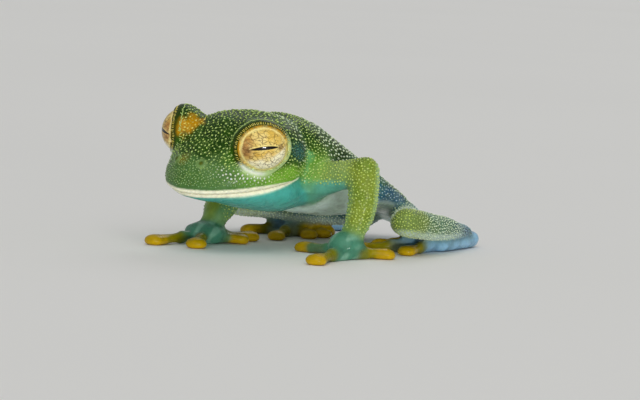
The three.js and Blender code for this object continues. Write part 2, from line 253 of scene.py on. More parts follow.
class HeadAxes:
    """Places measured from the middle of the eyes: to the frog's left, back and up, in the tilted head."""

    origin = (EYES["left"] + EYES["right"]) / 2
    left = unit(EYES["left"] - EYES["right"])
    back = np.array([0.0, 1.0, 0.0])
    up = np.cross(left, back)
    matrix = np.array([left, back, up])

    @classmethod
    def of(cls, points):
        return (points - cls.origin) @ cls.matrix.T

    @classmethod
    def mirrored(cls, points):
        """The same, with both halves of the head folded onto the left one."""
        return cls.of(points) * np.where(cls.of(points)[:, :1] < 0, [-1, 1, 1], [1, 1, 1])


def gaze(side):
    """Direction in which an eye looks."""
    turn = GAZE_TURN if side == "left" else -GAZE_TURN
    level = math.cos(GAZE_LIFT)
    return np.array([math.sin(turn) * level, -math.cos(turn) * level, math.sin(GAZE_LIFT)]) @ HeadAxes.matrix


def eye_axes(side):
    """Directions of an eye: to the rear along its opening, up along it, and out along the gaze."""
    out = gaze(side)
    rear = unit(HeadAxes.back - (HeadAxes.back @ out) * out)
    up = np.cross(out, rear) if side == "left" else np.cross(rear, out)
    return np.array([rear, up * np.sign(up @ HeadAxes.up), out])


def above_mouth(head):
    """Height of places over the mouth line, in the axes of the head."""
    return head[:, 2] + LIP_BELOW - LIP_SLOPE * (head[:, 1] + SNOUT_AHEAD)


def from_nostril(head):
    return np.linalg.norm(head - NOSTRIL, axis=1)


def from_ear(head):
    """Distance from the middle of the ear, less along its longer axes."""
    return np.linalg.norm((head - EAR) / EAR_SHAPE, axis=1)


def along_trunk(points):
    """0 at the neck and 1 at the rear end of the trunk."""
    return (points[:, 1] - NECK) / (TAIL - NECK)


def along_shank(points):
    """0 at the knee and 1 at the ankle."""
    low, high = box_mm("shank_left")
    return (points[:, 1] - low[1]) / (high[1] - low[1])


def node_points(name):
    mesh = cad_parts[name].data
    place = np.empty(len(mesh.vertices) * 3, np.float32)
    mesh.vertices.foreach_get("co", place)
    return place.reshape(-1, 3) / MM


def digit_tips():
    """For every finger and toe, the place where it is farthest from its hand or foot."""
    tips = []
    for side in SIDES:
        for limb, digit, count in (("hand", "finger", 4), ("foot", "toe", 5)):
            for i in range(1, count + 1):
                points = node_points(f"{digit}_{i}_{side}")
                away = np.linalg.norm(points - middle(f"{limb}_{side}"), axis=1)
                tips.append(points[away.argmax()])
    return np.array(tips)


# Distance fields


LOW_CELL = np.floor((np.array(cad_bounds[0]) / MM - MARGIN) / CELL).astype(int)
HIGH_CELL = np.ceil((np.array(cad_bounds[1]) / MM + MARGIN) / CELL).astype(int)
SHAPE = tuple(HIGH_CELL - LOW_CELL + 1)


def node_mesh(names):
    """Vertices in mm and triangles of some CAD nodes together."""
    points, triangles, count = [], [], 0
    for name in names:
        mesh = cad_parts[name].data
        mesh.calc_loop_triangles()
        corner = np.empty(len(mesh.loop_triangles) * 3, np.int32)
        mesh.loop_triangles.foreach_get("vertices", corner)
        points.append(node_points(name))
        triangles.append(corner.reshape(-1, 3) + count)
        count += len(mesh.vertices)
    return np.concatenate(points).astype(np.float32), np.concatenate(triangles).astype(np.uint32)


def distance_to(names):
    """Distance in mm from the surface of some CAD nodes, negative inside, for every cell."""
    points, triangles = node_mesh(names)
    grid = openvdb.FloatGrid.createLevelSetFromPolygons(
        points,
        triangles=triangles,
        transform=openvdb.createLinearTransform(CELL),
        halfWidth=BAND / CELL,
    )
    values = np.empty(SHAPE, np.float32)
    grid.copyToArray(values, ijk=tuple(int(i) for i in LOW_CELL))
    return values


def cell_places():
    """Places of the cells in mm, as three arrays that broadcast to the whole grid."""
    return [
        ((LOW_CELL[axis] + np.arange(SHAPE[axis])) * CELL)
        .reshape([-1 if other == axis else 1 for other in range(3)])
        .astype(np.float32)
        for axis in range(3)
    ]


def blurred(values, sigma):
    """The field averaged over a soft ball, which rounds off facets and fills thin slits."""
    reach = int(2.5 * sigma / CELL) + 1
    weights = np.exp(-0.5 * (np.arange(-reach, reach + 1) * CELL / sigma) ** 2)
    weights /= weights.sum()
    for axis in range(3):
        pads = [(reach, reach) if other == axis else (0, 0) for other in range(3)]
        padded = np.pad(values, pads, mode="edge")
        total = np.zeros_like(values)
        for step, weight in enumerate(weights):
            window = [slice(None)] * 3
            window[axis] = slice(step, step + values.shape[axis])
            total += np.float32(weight) * padded[tuple(window)]
        values = total
    return values


def melt(first, second, reach):
    """Union of two fields, with a soft fillet of that reach where they meet."""
    near = np.clip(1 - np.abs(first - second) / reach, 0, 1)
    return np.minimum(first, second) - reach * near * near / 4


def carve(field, tool, reach):
    """The field without what is inside the tool, with a soft edge of that reach."""
    return -melt(-field, tool, reach)


def sampled(field, points):
    """Values of a field at places in mm, interpolated between the cells."""
    at = points / CELL - LOW_CELL
    base = np.clip(np.floor(at).astype(int), 0, np.array(SHAPE) - 2)
    part = np.clip(at - base, 0, 1)
    total = np.zeros(len(points))
    for corner in np.ndindex(2, 2, 2):
        weight = np.prod(np.where(corner, part, 1 - part), axis=1)
        i, j, k = (base + corner).T
        total += weight * field[i, j, k]
    return total


# Shape of the skin


REGIONS = {
    "head": ["head"],
    "jaw": ["lower_jaw"],
    "trunk": ["trunk"],
    "upper arm": [f"upper_arm_{side}" for side in SIDES],
    "forearm": [f"forearm_{side}" for side in SIDES],
    "thigh": [f"thigh_{side}" for side in SIDES],
    "shank": [f"shank_{side}" for side in SIDES],
    "hand": [f"hand_{side}" for side in SIDES],
    "foot": [f"foot_{side}" for side in SIDES],
    "finger": [f"finger_{i}_{side}" for side in SIDES for i in range(1, 5)],
    "toe": [f"toe_{i}_{side}" for side in SIDES for i in range(1, 6)],
}


def round_eye(axes, side):
    """Places round an eye, in mm: to the rear along its opening, up, and out along the gaze."""
    offsets = [axis - np.float32(centre) for axis, centre in zip(axes, EYES[side])]
    return [sum(offset * np.float32(part) for offset, part in zip(offsets, way)) for way in eye_axes(side)]


def from_eyeball(place, grow):
    """Distance from the eyeball's surface, or from one that is larger all round by grow."""
    halves = [half + grow for half in EYE_HALF]
    scaled = [part / half for part, half in zip(place, halves)]
    near = np.sqrt(sum(part**2 for part in scaled)) + 1e-6
    slope = np.sqrt(sum((part / half) ** 2 for part, half in zip(scaled, halves))) + 1e-6
    return near * (near - 1) / slope


def opening_share(rear, up):
    """0 in the middle of the opening of the lids and 1 at its edge."""
    return np.hypot(rear / OPENING[0], up / OPENING[1]) + 1e-6


def past_opening(rear, up):
    """How far a place is outside the edge of the opening, seen along the gaze."""
    across = np.hypot(rear, up)
    return across - across / opening_share(rear, up)


def rim_ahead(rear, up):
    """How far out along the gaze the eyeball's surface is, at the nearest edge of the opening."""
    share = opening_share(rear, up)
    inside = 1 - (rear / share / EYE_HALF[0]) ** 2 - (up / share / EYE_HALF[1]) ** 2
    return EYE_HALF[2] * np.sqrt(np.maximum(inside, 0))


def lids(place):
    """Distance from the body of both lids of an eye, which thins out towards its opening."""
    rear, up, out = place
    past = past_opening(rear, up)
    thick = np.where(out > 0, LID_EDGE + (LID_THICK - LID_EDGE) * smooth(past, 0, 0.6), LID_THICK)
    return np.maximum(from_eyeball(place, thick), np.where(out > 0, -past, -BAND))


def core_field(fields, cells):
    """Head, jaw and trunk as one body. The neck is rounded most, and the lids least."""
    core = np.minimum(np.minimum(fields["head"], fields["jaw"]), fields["trunk"])
    soft = bump_at(cells[1] - np.float32(NECK), 0, 2.6)
    core = blurred(core, ROUNDING["core"]) * (1 - soft) + blurred(core, ROUNDING["neck"]) * soft
    for side in SIDES:
        core = melt(core, lids(round_eye(cells, side)), FILLET["lids"])
    return core


def body_field(fields):
    """Distance field of the skin, without the rims and sockets of the eyes."""
    cells = cell_places()
    core = core_field(fields, cells)
    hands = blurred(melt(fields["hand"], fields["finger"], SLIT_REACH), ROUNDING["digits"])
    feet = blurred(melt(fields["foot"], fields["toe"], SLIT_REACH), ROUNDING["digits"])
    arms = blurred(melt(fields["upper arm"], fields["forearm"], SLIT_REACH), ROUNDING["arm"])
    arms = melt(arms, hands, SLIT_REACH)
    shanks = melt(blurred(fields["shank"], ROUNDING["shank"]), feet, SLIT_REACH)
    legs = melt(blurred(fields["thigh"], ROUNDING["thigh"]), shanks, SLIT_REACH)
    whole = melt(melt(core, arms, FILLET["arms"]), legs, FILLET["legs"])
    return np.maximum(whole, -cells[2])


def with_eye_rims(field, axes):
    """The field with the rolled edge of the lids round each eye, and with the socket cut out."""
    for side in SIDES:
        place = round_eye(axes, side)
        rear, up, out = place
        past = past_opening(rear, up)
        field = carve(field, np.maximum(past, 0.3 - out), 0.1)
        ring = np.hypot(past - 1.5 * RIM_RADIUS, out - rim_ahead(rear, up)) - RIM_RADIUS
        field = melt(field, ring, FILLET["rim"])
        field = carve(field, from_eyeball(place, -0.05), 0.05)
    return field


def coarse_surface(field):
    """Vertices in mm and quads of a field's zero level, on a wider grid than the field's own."""
    counts = (np.array(SHAPE) * CELL / MESH_CELL).astype(int)
    axes = [LOW_CELL[axis] * CELL + np.arange(counts[axis]) * MESH_CELL for axis in range(3)]
    places = np.stack(np.meshgrid(*axes, indexing="ij"), axis=-1).reshape(-1, 3)
    values = sampled(field, places).reshape(counts).astype(np.float32)
    grid = openvdb.FloatGrid(BAND)
    grid.transform = openvdb.createLinearTransform(MESH_CELL)
    grid.copyFromArray(values)
    points, quads = grid.convertToQuads(0.0)
    return points.astype(float) + LOW_CELL * CELL, quads.astype(int)


def refined(points, faces, masks):
    """The surface with all edges inside each mask halved, one mask after another."""
    mesh = bmesh.new()
    corners = [mesh.verts.new(place) for place in points]
    for face in faces:
        mesh.faces.new([corners[i] for i in face])
    for mask in masks:
        mesh.verts.index_update()
        inside = mask(np.array([corner.co for corner in mesh.verts]))
        edges = [e for e in mesh.edges if inside[e.verts[0].index] and inside[e.verts[1].index]]
        bmesh.ops.subdivide_edges(mesh, edges=edges, cuts=1, use_grid_fill=True)
    mesh.verts.index_update()
    points = np.array([corner.co for corner in mesh.verts])
    faces = [[corner.index for corner in face.verts] for face in mesh.faces]
    mesh.free()
    return points, faces


def near_head(points):
    """True on the head, in front of the neck."""
    return points[:, 1] < NECK + 0.6


def near_fine_parts(points):
    """True round the mouth line, the edges of the lids and the nostrils."""
    head = HeadAxes.mirrored(points)
    mouth = (np.abs(above_mouth(head)) < 0.34) & (head[:, 1] < MOUTH_CORNER + 0.4)
    nostril = from_nostril(head) < 0.75
    rims = np.zeros(len(points), bool)
    for side in SIDES:
        rear, up, out = round_eye(points.T, side)
        rims |= (np.abs(past_opening(rear, up) - 0.12) < 0.36) & (out > 0.2)
    return near_head(points) & (mouth | nostril | rims)


def relief(points):
    """How far each vertex is moved out of the rounded surface, in mm."""
    head = HeadAxes.mirrored(points)
    on_head = smooth(points[:, 1], NECK + 1.5, NECK - 0.5)
    over = above_mouth(head)
    mouth = on_head * smooth(head[:, 1], MOUTH_CORNER + 0.3, MOUTH_CORNER - 0.6)
    lift = mouth * (0.06 * bump_at(over, 0.24, 0.28) + 0.05 * bump_at(over, -0.2, 0.22))
    lift -= mouth * 0.1 * bell(over, 0.05)
    to_nostril = from_nostril(head)
    lift += 0.13 * bell(to_nostril, 0.42) - 0.24 * bell(to_nostril, 0.13)
    lift += 0.12 * bell(to_segment(head, NOSTRIL, CANTHUS_END), 0.55)
    lift += 0.14 * bell(to_line(head, EAR_FOLD), 0.4) * smooth(points[:, 1], NECK + 3, NECK)
    lift -= 0.1 * bell(np.linalg.norm((head - EAR) / (1, 1.4, 1), axis=1), 0.7)
    throat = smooth(over, -0.5, -1.2) * smooth(head[:, 1], 2.5, 5.5) * smooth(head[:, 1], 9.5, 8)
    lift += 0.02 * throat * np.sin(over * 7 + ripple(points, 2.6, 11) * 1.6)
    lift += 0.03 * ripple(points, 1.6, 12) * smooth(points[:, 2], 0.4, 1.2)
    return lift


class Skin:
    """The skin's mesh in mm, with the share that each region has in every vertex."""

    def __init__(self):
        self.fields = {name: distance_to(nodes) for name, nodes in REGIONS.items()}
        self.body = body_field(self.fields)
        points, quads = coarse_surface(with_eye_rims(self.body, cell_places()))
        self.points, self.faces = refined(points, quads, [near_head, near_fine_parts])
        self.settle(4)
        self.set_normals()
        self.points += self.normals * relief(self.points)[:, None]
        self.points[:, 2] = np.maximum(self.points[:, 2], 0)
        self.set_normals()
        self.shares = self.region_shares()

    def distance(self, points):
        return with_eye_rims(sampled(self.body, points), points.T)

    def settle(self, rounds):
        """Pulls every vertex onto the field's zero level."""
        step = 0.06
        for _ in range(rounds):
            slope = [
                self.distance(self.points + step * axis) - self.distance(self.points - step * axis)
                for axis in np.eye(3)
            ]
            way = unit(np.stack(slope, axis=1))
            self.points -= self.distance(self.points)[:, None] * way

    def set_normals(self):
        """Outward direction at every vertex, from the faces round it."""
        total = np.zeros_like(self.points)
        for size in (3, 4):
            ring = np.array([face for face in self.faces if len(face) == size])
            across = self.points[ring[:, 2]] - self.points[ring[:, 0]]
            other = self.points[ring[:, -1]] - self.points[ring[:, 1]]
            way = np.cross(across, other)
            for corner in range(size):
                np.add.at(total, ring[:, corner], way)
        self.normals = unit(total)

    def region_shares(self):
        """Share of every region in every vertex, from 0 to 1. They change over about half a mm."""
        near = {name: np.exp(-sampled(field, self.points) / 0.22) for name, field in self.fields.items()}
        total = sum(near.values())
        return {name: value / total for name, value in near.items()}


# Colours of the skin


class Paint:
    """Colours of a surface, laid on coat by coat."""

    def __init__(self, count, colour):
        self.tone = np.tile(COLOURS[colour], (count, 1))

    def coat(self, colour, cover):
        self.tone = blend(self.tone, COLOURS[colour], np.clip(cover, 0, 1))


def facing(rear, up, way):
    """How far places round an eye lie towards a direction given as (rear, up), from -1 to 1."""
    return unit(np.stack([rear, up], axis=1)) @ unit(np.array(way, float))


def paint_trunk(paint, skin):
    trunk = skin.shares["trunk"]
    along = along_trunk(skin.points)
    up, height = skin.normals[:, 2], skin.points[:, 2]
    patches = ripple(skin.points, 1.3, 21)
    back = smooth(up + 0.12 * patches, 0.0, 0.35)
    rear = smooth(along + 0.06 * patches, 0.25, 0.55)
    low = smooth(height + 0.3 * patches, 6.0, 4.9) * smooth(up, 0.5, 0.1)
    paint.coat("neck", trunk)
    paint.coat("cheek green", trunk * smooth(along, 0.2, 0.08) * smooth(height, 5.6, 7.0) * 0.5)
    paint.coat("arm mint", trunk * bump_at(up, 0.15, 0.45) * smooth(along, 0.15, 0.4) * 0.6)
    paint.coat("deep green", trunk * back)
    paint.coat("leaf green", trunk * back * (0.1 + 0.25 * smooth(patches, -0.3, 0.8)))
    paint.coat("belly", trunk * np.maximum(low, smooth(up, -0.1, -0.5)) * 0.95)
    side = smooth(up, -0.8, -0.4) * smooth(up + 0.15 * patches, 0.7, 0.3)
    paint.coat("rump", trunk * rear * np.maximum(side, 0.25 * smooth(up, 0.2, 0.6)))
    paint.coat("flank", trunk * rear * 0.2 * smooth(patches, 0, 1))
    paint.coat("throat", trunk * smooth(along, 0.08, -0.02) * smooth(up, 0.2, -0.1) * 0.9)


def paint_head(paint, skin, head, over):
    upper, jaw = skin.shares["head"], skin.shares["jaw"]
    back, up = head[:, 1], head[:, 2]
    either = upper + skin.shares["trunk"]
    patches = ripple(skin.points, 1.1, 22)
    side = smooth(up + 0.25 * patches, -0.9, -2.1)
    front = smooth(back, 0.9, -0.9)
    paint.coat("deep green", upper)
    paint.coat("leaf green", upper * (0.1 + 0.25 * smooth(patches, -0.2, 0.9)))
    bright = bell(np.linalg.norm(head - (3.4, -2.6, -1.0), axis=1), 1.1)
    paint.coat("leaf green", upper * bright * 0.8)
    paint.coat("muzzle green", upper * side * front)
    paint.coat("cheek green", upper * side * (1 - front))
    paint.coat("cheek green", upper * side * front * smooth(back, -2.9, -0.3) * 0.6)
    paint.coat("ear teal", either * bell(from_ear(head), 0.85) * 0.95)
    paint.coat("throat", jaw)
    beside = smooth(back, 5.2, 6.2) * smooth(back, 10, 8) * smooth(up, 0.2, -1.8)
    paint.coat("cheek green", (either + jaw) * beside * smooth(up, -4.0, -2.8) * 0.6)
    chest = smooth(up, -2.6, -3.6) * smooth(up, -5.2, -4.4)
    paint.coat("neck", either * chest * smooth(back, 4.2, 5.8) * smooth(back, 10, 8))
    lip = (upper + jaw) * smooth(back, MOUTH_CORNER + 0.25, MOUTH_CORNER - 0.4)
    thin = 0.4 + 0.6 * smooth(back, MOUTH_CORNER, -1.0)
    mint = smooth(over, -0.62 * thin, -0.36 * thin) * smooth(over, 0.1, 0)
    paint.coat("chin mint", lip * mint * smooth(back, -3.0, -1.0))
    band = smooth(over, -0.42 * thin, -0.3 * thin) * smooth(over, 0.5 * thin, 0.34 * thin)
    paint.coat("lip cream", lip * band)
    paint.coat("lip line", lip * bell(over, 0.045) * 0.6)


def paint_nostrils(paint, skin, head):
    away = from_nostril(head)
    paint.coat("nostril rim", skin.shares["head"] * bump_at(away, 0.36, 0.3) * 0.6)
    paint.coat("nostril pit", smooth(away, 0.24, 0.12))


def paint_lids(paint, skin):
    """Yellow edge above and in front, pale crescent of the lower lid below and behind, and a painted wet
    highlight on the lower lid in front.
    """
    for side in SIDES:
        rear, up, out = round_eye(skin.points.T, side)
        past = past_opening(rear, up)
        near = skin.shares["head"] * smooth(out, 0.0, 0.4)
        rear_low = smooth(facing(rear, up, (0.62, -0.78)), -0.1, 0.5)
        front_top = smooth(facing(rear, up, (-0.4, 0.92)), -0.75, -0.2)
        paint.coat("lid shade", near * front_top * smooth(past, 0.9, 0.5) * 0.9)
        paint.coat("lid mint", near * rear_low * smooth(past, 1.1, 0.45))
        # Painted highlight: a white wet glint on the lower lid, low and in front.
        white = smooth(facing(rear, up, (-0.35, -1)), 0.78, 0.97) * bump_at(past, 0.36, 0.34)
        paint.coat("pale dot and lid highlight", near * white * 0.95)
        paint.coat("lid orange", near * smooth(past, 0.24, 0.12) * front_top * 0.8)
        paint.coat("iris rim", near * smooth(past, 0.08, 0.02) * 0.6)


def right_patch(skin):
    """Distance from the line along which the patch in front of the right eye runs."""
    return to_segment(HeadAxes.of(skin.points), *RIGHT_PATCH) + 0.16 * ripple(skin.points, 0.45, 23)


def paint_front_marks(paint, skin):
    """Golden patch in front of the right eye, and a faint one at the tip of the snout."""
    paint.coat("lid orange", skin.shares["head"] * smooth(right_patch(skin), 1.1, 0.3) * 0.85)
    tip = np.linalg.norm(HeadAxes.of(skin.points) - (-0.7, -4.2, -1.4), axis=1)
    paint.coat("lid orange", skin.shares["head"] * smooth(tip, 1.1, 0.2) * 0.3)


def paint_arms(paint, skin):
    upper, lower = skin.shares["upper arm"], skin.shares["forearm"]
    up = skin.normals[:, 2]
    patches = ripple(skin.points, 1.0, 24)
    rear_edge = skin.normals @ unit(np.array([0.72, 0.69, 0]))
    paint.coat("arm olive", upper + lower)
    paint.coat("leaf green", (upper + lower) * 0.3 * smooth(patches, -0.1, 0.9))
    paint.coat("arm mint", upper * 0.35)
    paint.coat("cheek green", upper * smooth(np.abs(skin.points[:, 0]), 6.4, 4.8) * 0.55)
    # Painted shade: the downward side of the upper arm gets the teal that the arm shows in shade.
    paint.coat("arm shade teal", upper * smooth(up + 0.15 * patches, 0.0, -0.5))
    paint.coat("arm mint", lower * smooth(-rear_edge, 0.6, 0.98) * 0.5)
    paint.coat("arm mint", (upper * 0.3 + lower) * smooth(rear_edge, 0.55, 0.95) * 0.9)
    inner = smooth(-np.sign(skin.points[:, 0]) * skin.normals[:, 0], 0.2, 0.8)
    paint.coat("palm", lower * inner * 0.7)
    paint.coat("wrist", lower * smooth(skin.points[:, 2], 3.4, 2.2) * 0.5)


def paint_legs(paint, skin):
    thigh, shank = skin.shares["thigh"], skin.shares["shank"]
    along = along_shank(skin.points)
    patches = ripple(skin.points, 0.9, 25)
    paint.coat("thigh", thigh)
    paint.coat("knee", (thigh + shank) * smooth(along + 0.08 * patches, 0.5, 0.15))
    paint.coat("shank", shank * smooth(along + 0.1 * patches, 0.12, 0.4))
    # Partly painted shade: the heel end of the shank is blue-teal, painted darker for the shadow that falls
    # there.
    paint.coat("ankle", shank * smooth(along + 0.06 * patches, 0.45, 0.85))
    under = smooth(skin.normals[:, 2], -0.3, -0.8)
    paint.coat("belly", (thigh + shank) * under * 0.5)


def paint_hands_and_feet(paint, skin, tips):
    hand, foot = skin.shares["hand"], skin.shares["foot"]
    digit = skin.shares["finger"] + skin.shares["toe"]
    height = skin.points[:, 2]
    patches = ripple(skin.points, 0.6, 26)
    apart = np.array([np.linalg.norm(skin.points - tip, axis=1) for tip in tips])
    to_tip = apart.min(axis=0)
    plain = np.isin(apart.argmin(axis=0), PALE_DIGITS)
    paint.coat("palm", hand)
    paint.coat("chin mint", hand * 0.25 * smooth(patches, 0, 0.9))
    paint.coat("web", hand * smooth(height, 1.1, 0.6) * smooth(to_tip, 4.4, 3.0) * ~plain)
    paint.coat("foot", foot)
    paint.coat("ankle", foot * 0.3 * smooth(patches, 0.1, 0.9))
    paint.coat("web", foot * smooth(to_tip, 4.0, 2.6) * 0.85)
    paint.coat("web", digit)
    paint.coat("palm", digit * plain * 0.9)
    paint.coat("digit", digit * smooth(to_tip, 3.4, 2.3) * (1 - 0.8 * plain))
    paint.coat("disc", (digit + hand + foot) * smooth(to_tip, 2.2, 1.7))
    paint.coat("disc edge", digit * smooth(to_tip, 2.2, 1.7) * bump_at(height, 0.2, 0.25) * 0.8)


def painted(skin):
    """Colour of every vertex of the skin."""
    head = HeadAxes.mirrored(skin.points)
    over = above_mouth(head)
    paint = Paint(len(skin.points), "leaf green")
    paint_trunk(paint, skin)
    paint_arms(paint, skin)
    paint_legs(paint, skin)
    paint_hands_and_feet(paint, skin, digit_tips())
    paint_head(paint, skin, head, over)
    paint_front_marks(paint, skin)
    paint_nostrils(paint, skin, head)
    paint_lids(paint, skin)
    return paint.tone


# Coat of granules


# Kinds of granule: spacing, length and width in mm, and colour
KINDS = {
    "back": (0.4, 0.3, 0.2, "granule white"),
    "nape": (0.27, 0.19, 0.14, "granule green"),
    "rump": (0.36, 0.22, 0.16, "granule white"),
    "flank": (0.34, 0.2, 0.15, "granule blue"),
    "arm": (0.27, 0.2, 0.16, "granule yellow"),
    "under arm": (0.3, 0.12, 0.12, "granule teal"),
    "leg": (0.24, 0.17, 0.14, "granule white"),
    "knee": (0.25, 0.17, 0.14, "granule yellow"),
    "ankle": (0.24, 0.15, 0.12, "granule blue"),
    "snout": (0.37, 0.22, 0.15, "granule green"),
    "crown": (0.37, 0.29, 0.18, "granule green"),
    "muzzle": (0.23, 0.14, 0.11, "granule dull"),
    "cheek": (0.27, 0.17, 0.13, "granule green"),
    "bright": (0.3, 0.24, 0.19, "pale dot and lid highlight"),
    "ear": (0.22, 0.1, 0.09, "granule teal"),
    "lid": (0.26, 0.24, 0.12, "granule green"),
    "nostril": (0.4, 0.1, 0.1, "granule dull"),
    "bare": (0.4, 0.1, 0.1, "granule teal"),
}


class Coat:
    """Size, spacing and colour of the granule that would stand on every vertex, and where they do."""

    def __init__(self, skin):
        count = len(skin.points)
        self.spacing = np.full(count, 0.45)
        self.length = np.full(count, 0.27)
        self.width = np.full(count, 0.18)
        self.cover = np.zeros(count)
        self.paint = Paint(count, "granule green")

    def region(self, share, kind, cover=1.0):
        """Blends in one kind of granule by that share. Where cover is 0 none stands."""
        spacing, length, width, colour = KINDS[kind]
        share = np.clip(share, 0, 1)
        self.spacing += (spacing - self.spacing) * share
        self.length += (length - self.length) * share
        self.width += (width - self.width) * share
        self.cover += (cover - self.cover) * share
        self.paint.coat(colour, share)


def coat_trunk(coat, skin):
    trunk, up = skin.shares["trunk"], skin.normals[:, 2]
    along = along_trunk(skin.points)
    coat.region(trunk, "back")
    coat.region(trunk * smooth(along, 0.17, 0.08), "nape")
    coat.region(trunk * smooth(along, 0.3, 0.5), "rump")
    coat.region(trunk * smooth(along, 0.3, 0.5) * smooth(up, 0.7, 0.3), "flank")
    lower_edge = 0.12 - 0.45 * (smooth(along, 0.25, 0.4) + smooth(along, 0.14, 0.08))
    coat.region(trunk * smooth(up, lower_edge, lower_edge - 0.24), "bare", 0)


def coat_limbs(coat, skin, arms, legs):
    up, down_leg = skin.normals[:, 2], along_shank(skin.points)
    coat.region(arms, "arm")
    coat.region(arms * smooth(up, -0.4, -0.75), "under arm", 0)
    coat.region(legs, "leg")
    coat.region(legs * smooth(down_leg, 0.35, 0.05), "knee")
    coat.region(legs * smooth(down_leg, 0.6, 0.9), "ankle")


def coat_head(coat, skin, head):
    upper = skin.shares["head"]
    back, up = head[:, 1], head[:, 2]
    side = smooth(up, -0.9, -2.1)
    front = smooth(back, 0.9, -0.9)
    coat.region(upper, "snout")
    coat.region(upper * smooth(back, 0.3, 3.9), "crown")
    coat.region(upper * smooth(back, 3.6, 5.6), "back")
    coat.region(upper * side * front, "muzzle")
    coat.region(upper * side * (1 - front), "cheek")
    bright = bump_at(up, -2.5, 0.85) * smooth(back, -3.6, -2.6) * smooth(back, 1.3, 0.3)
    coat.region(upper * bright, "bright")
    coat.region((upper + skin.shares["trunk"]) * smooth(from_ear(head), 1.1, 0.7), "ear")


def coat_bare_parts(coat, skin, head, arms, legs):
    """Bare jaw, lips, nostrils, hands, feet and chest. The sides of the neck keep small granules."""
    coat.region(skin.shares["jaw"] * 1.6, "bare", 0)
    back, over = head[:, 1], above_mouth(head)
    lip = smooth(over, 0.55, 0.45) * smooth(back, MOUTH_CORNER + 0.6, MOUTH_CORNER)
    coat.region(lip, "bare", 0)
    coat.region(smooth(from_nostril(head), 0.4, 0.28), "nostril", 0)
    for name in ("hand", "foot", "finger", "toe"):
        coat.region(skin.shares[name] * 2, "bare", 0)
    neck = smooth(back, 5.4, 6.2) * smooth(back, 9, 8) * bump_at(head[:, 2], -1.6, 2.2)
    coat.region(neck * 1.5 * (1 - arms), "nape")
    limbs = skin.shares["forearm"] + legs
    below = smooth(skin.normals[:, 2], 0.1, -0.2) * smooth(skin.points[:, 2], 6.2, 5.4) * (1 - limbs)
    coat.region(below * (along_trunk(skin.points) < 0.3) * 2, "bare", 0)


def coat_lids(coat, skin):
    """Granules in front of and above each eye, and bare skin along the edge of its lids."""
    for side in SIDES:
        rear, up, out = round_eye(skin.points.T, side)
        past = past_opening(rear, up)
        rays = facing(rear, up, (-0.35, 0.93)) > -0.35
        coat.region(smooth(past, 1.8, 1.2) * (past > 0) * (out > -0.5) * rays, "lid")
        coat.cover[(past < np.where(rays, 0.8, 0.6)) & (out > -0.3)] = 0


def planned_coat(skin):
    """The coat over the whole skin. A later region lies over the ones before it."""
    coat = Coat(skin)
    head = HeadAxes.mirrored(skin.points)
    arms = skin.shares["upper arm"] + skin.shares["forearm"]
    legs = skin.shares["thigh"] + skin.shares["shank"]
    coat_trunk(coat, skin)
    coat_limbs(coat, skin, arms, legs)
    coat_head(coat, skin, head)
    coat_bare_parts(coat, skin, head, arms, legs)
    coat_lids(coat, skin)
    coat.paint.coat("granule gold", smooth(right_patch(skin), 1.2, 0.6) * 0.9)
    return coat


class Sites:
    """Places on the skin: the nearest vertex of each, the place itself and the direction outward."""

    def __init__(self, rows, places, normals):
        self.rows, self.places, self.normals = rows, places, normals


def random_sites(skin, coat):
    """Random places on the skin, more of them where granules stand close together."""
    quads = np.array([face for face in skin.faces if len(face) == 4])
    a, b, c, d = (skin.points[quads[:, i]] for i in range(4))
    area = np.linalg.norm(np.cross(c - a, d - b), axis=1) / 2
    chance = area * (coat.cover[quads].mean(axis=1) > 0.4) / coat.spacing[quads].mean(axis=1) ** 2
    count = int(chance.sum() * TRIES)
    picked = quads[rng.choice(len(quads), count, p=chance / chance.sum())]
    u, v = rng.random((2, count))
    weights = np.stack([(1 - u) * (1 - v), u * (1 - v), u * v, (1 - u) * v], axis=1)
    rows = picked[np.arange(count), weights.argmax(axis=1)]
    places = (skin.points[picked] * weights[..., None]).sum(axis=1)
    normals = unit((skin.normals[picked] * weights[..., None]).sum(axis=1))
    return Sites(rows, places, normals)


def scattered(skin, coat):
    """Places that carry a granule: drawn at random, none closer to another than its spacing."""
    sites = random_sites(skin, coat)
    tree = KDTree(len(sites.rows))
    for i, place in enumerate(sites.places):
        tree.insert(place, i)
    tree.balance()
    taken = coat.cover[sites.rows] < 0.5
    reach = coat.spacing[sites.rows] * CROWDING
    chosen = []
    for i, place in enumerate(sites.places):
        if taken[i]:
            continue
        chosen.append(i)
        for _, j, _ in tree.find_range(place, reach[i]):
            taken[j] = True
    return Sites(sites.rows[chosen], sites.places[chosen], sites.normals[chosen])


def lengthways(sites):
    """Direction of the long side of granules: backwards, but straight away from an eye near its lids."""
    count = len(sites.rows)
    way = np.tile(HeadAxes.back, (count, 1)) + rng.normal(size=(count, 3)) * 0.35
    for side in SIDES:
        rear, up, out = round_eye(sites.places.T, side)
        flat = np.stack([rear, up, np.zeros(count)], axis=1) @ eye_axes(side)
        way = blend(way, unit(flat), smooth(past_opening(rear, up), 2.2, 1.0) * (out > 0))
    return unit(way - (way * sites.normals).sum(axis=1, keepdims=True) * sites.normals)


def dome():
    """Corners (along, across, height from 0 to 1) and faces of one granule: a low dome, closed below."""
    rings = ((1.0, 0.0), (0.95, 0.5), (0.6, 0.88))
    turns = np.arange(DOME_SIDES) * 2 * math.pi / DOME_SIDES
    corners = [(r * math.cos(a), r * math.sin(a), h) for r, h in rings for a in turns] + [(0, 0, 1)]
    faces = [list(range(DOME_SIDES))[::-1]]
    for ring in range(len(rings)):
        for i in range(DOME_SIDES):
            a, b = (ring * DOME_SIDES + k for k in (i, (i + 1) % DOME_SIDES))
            last = ring == len(rings) - 1
            faces.append([a, b, len(corners) - 1] if last else [a, b, b + DOME_SIDES, a + DOME_SIDES])
    return np.array(corners), faces


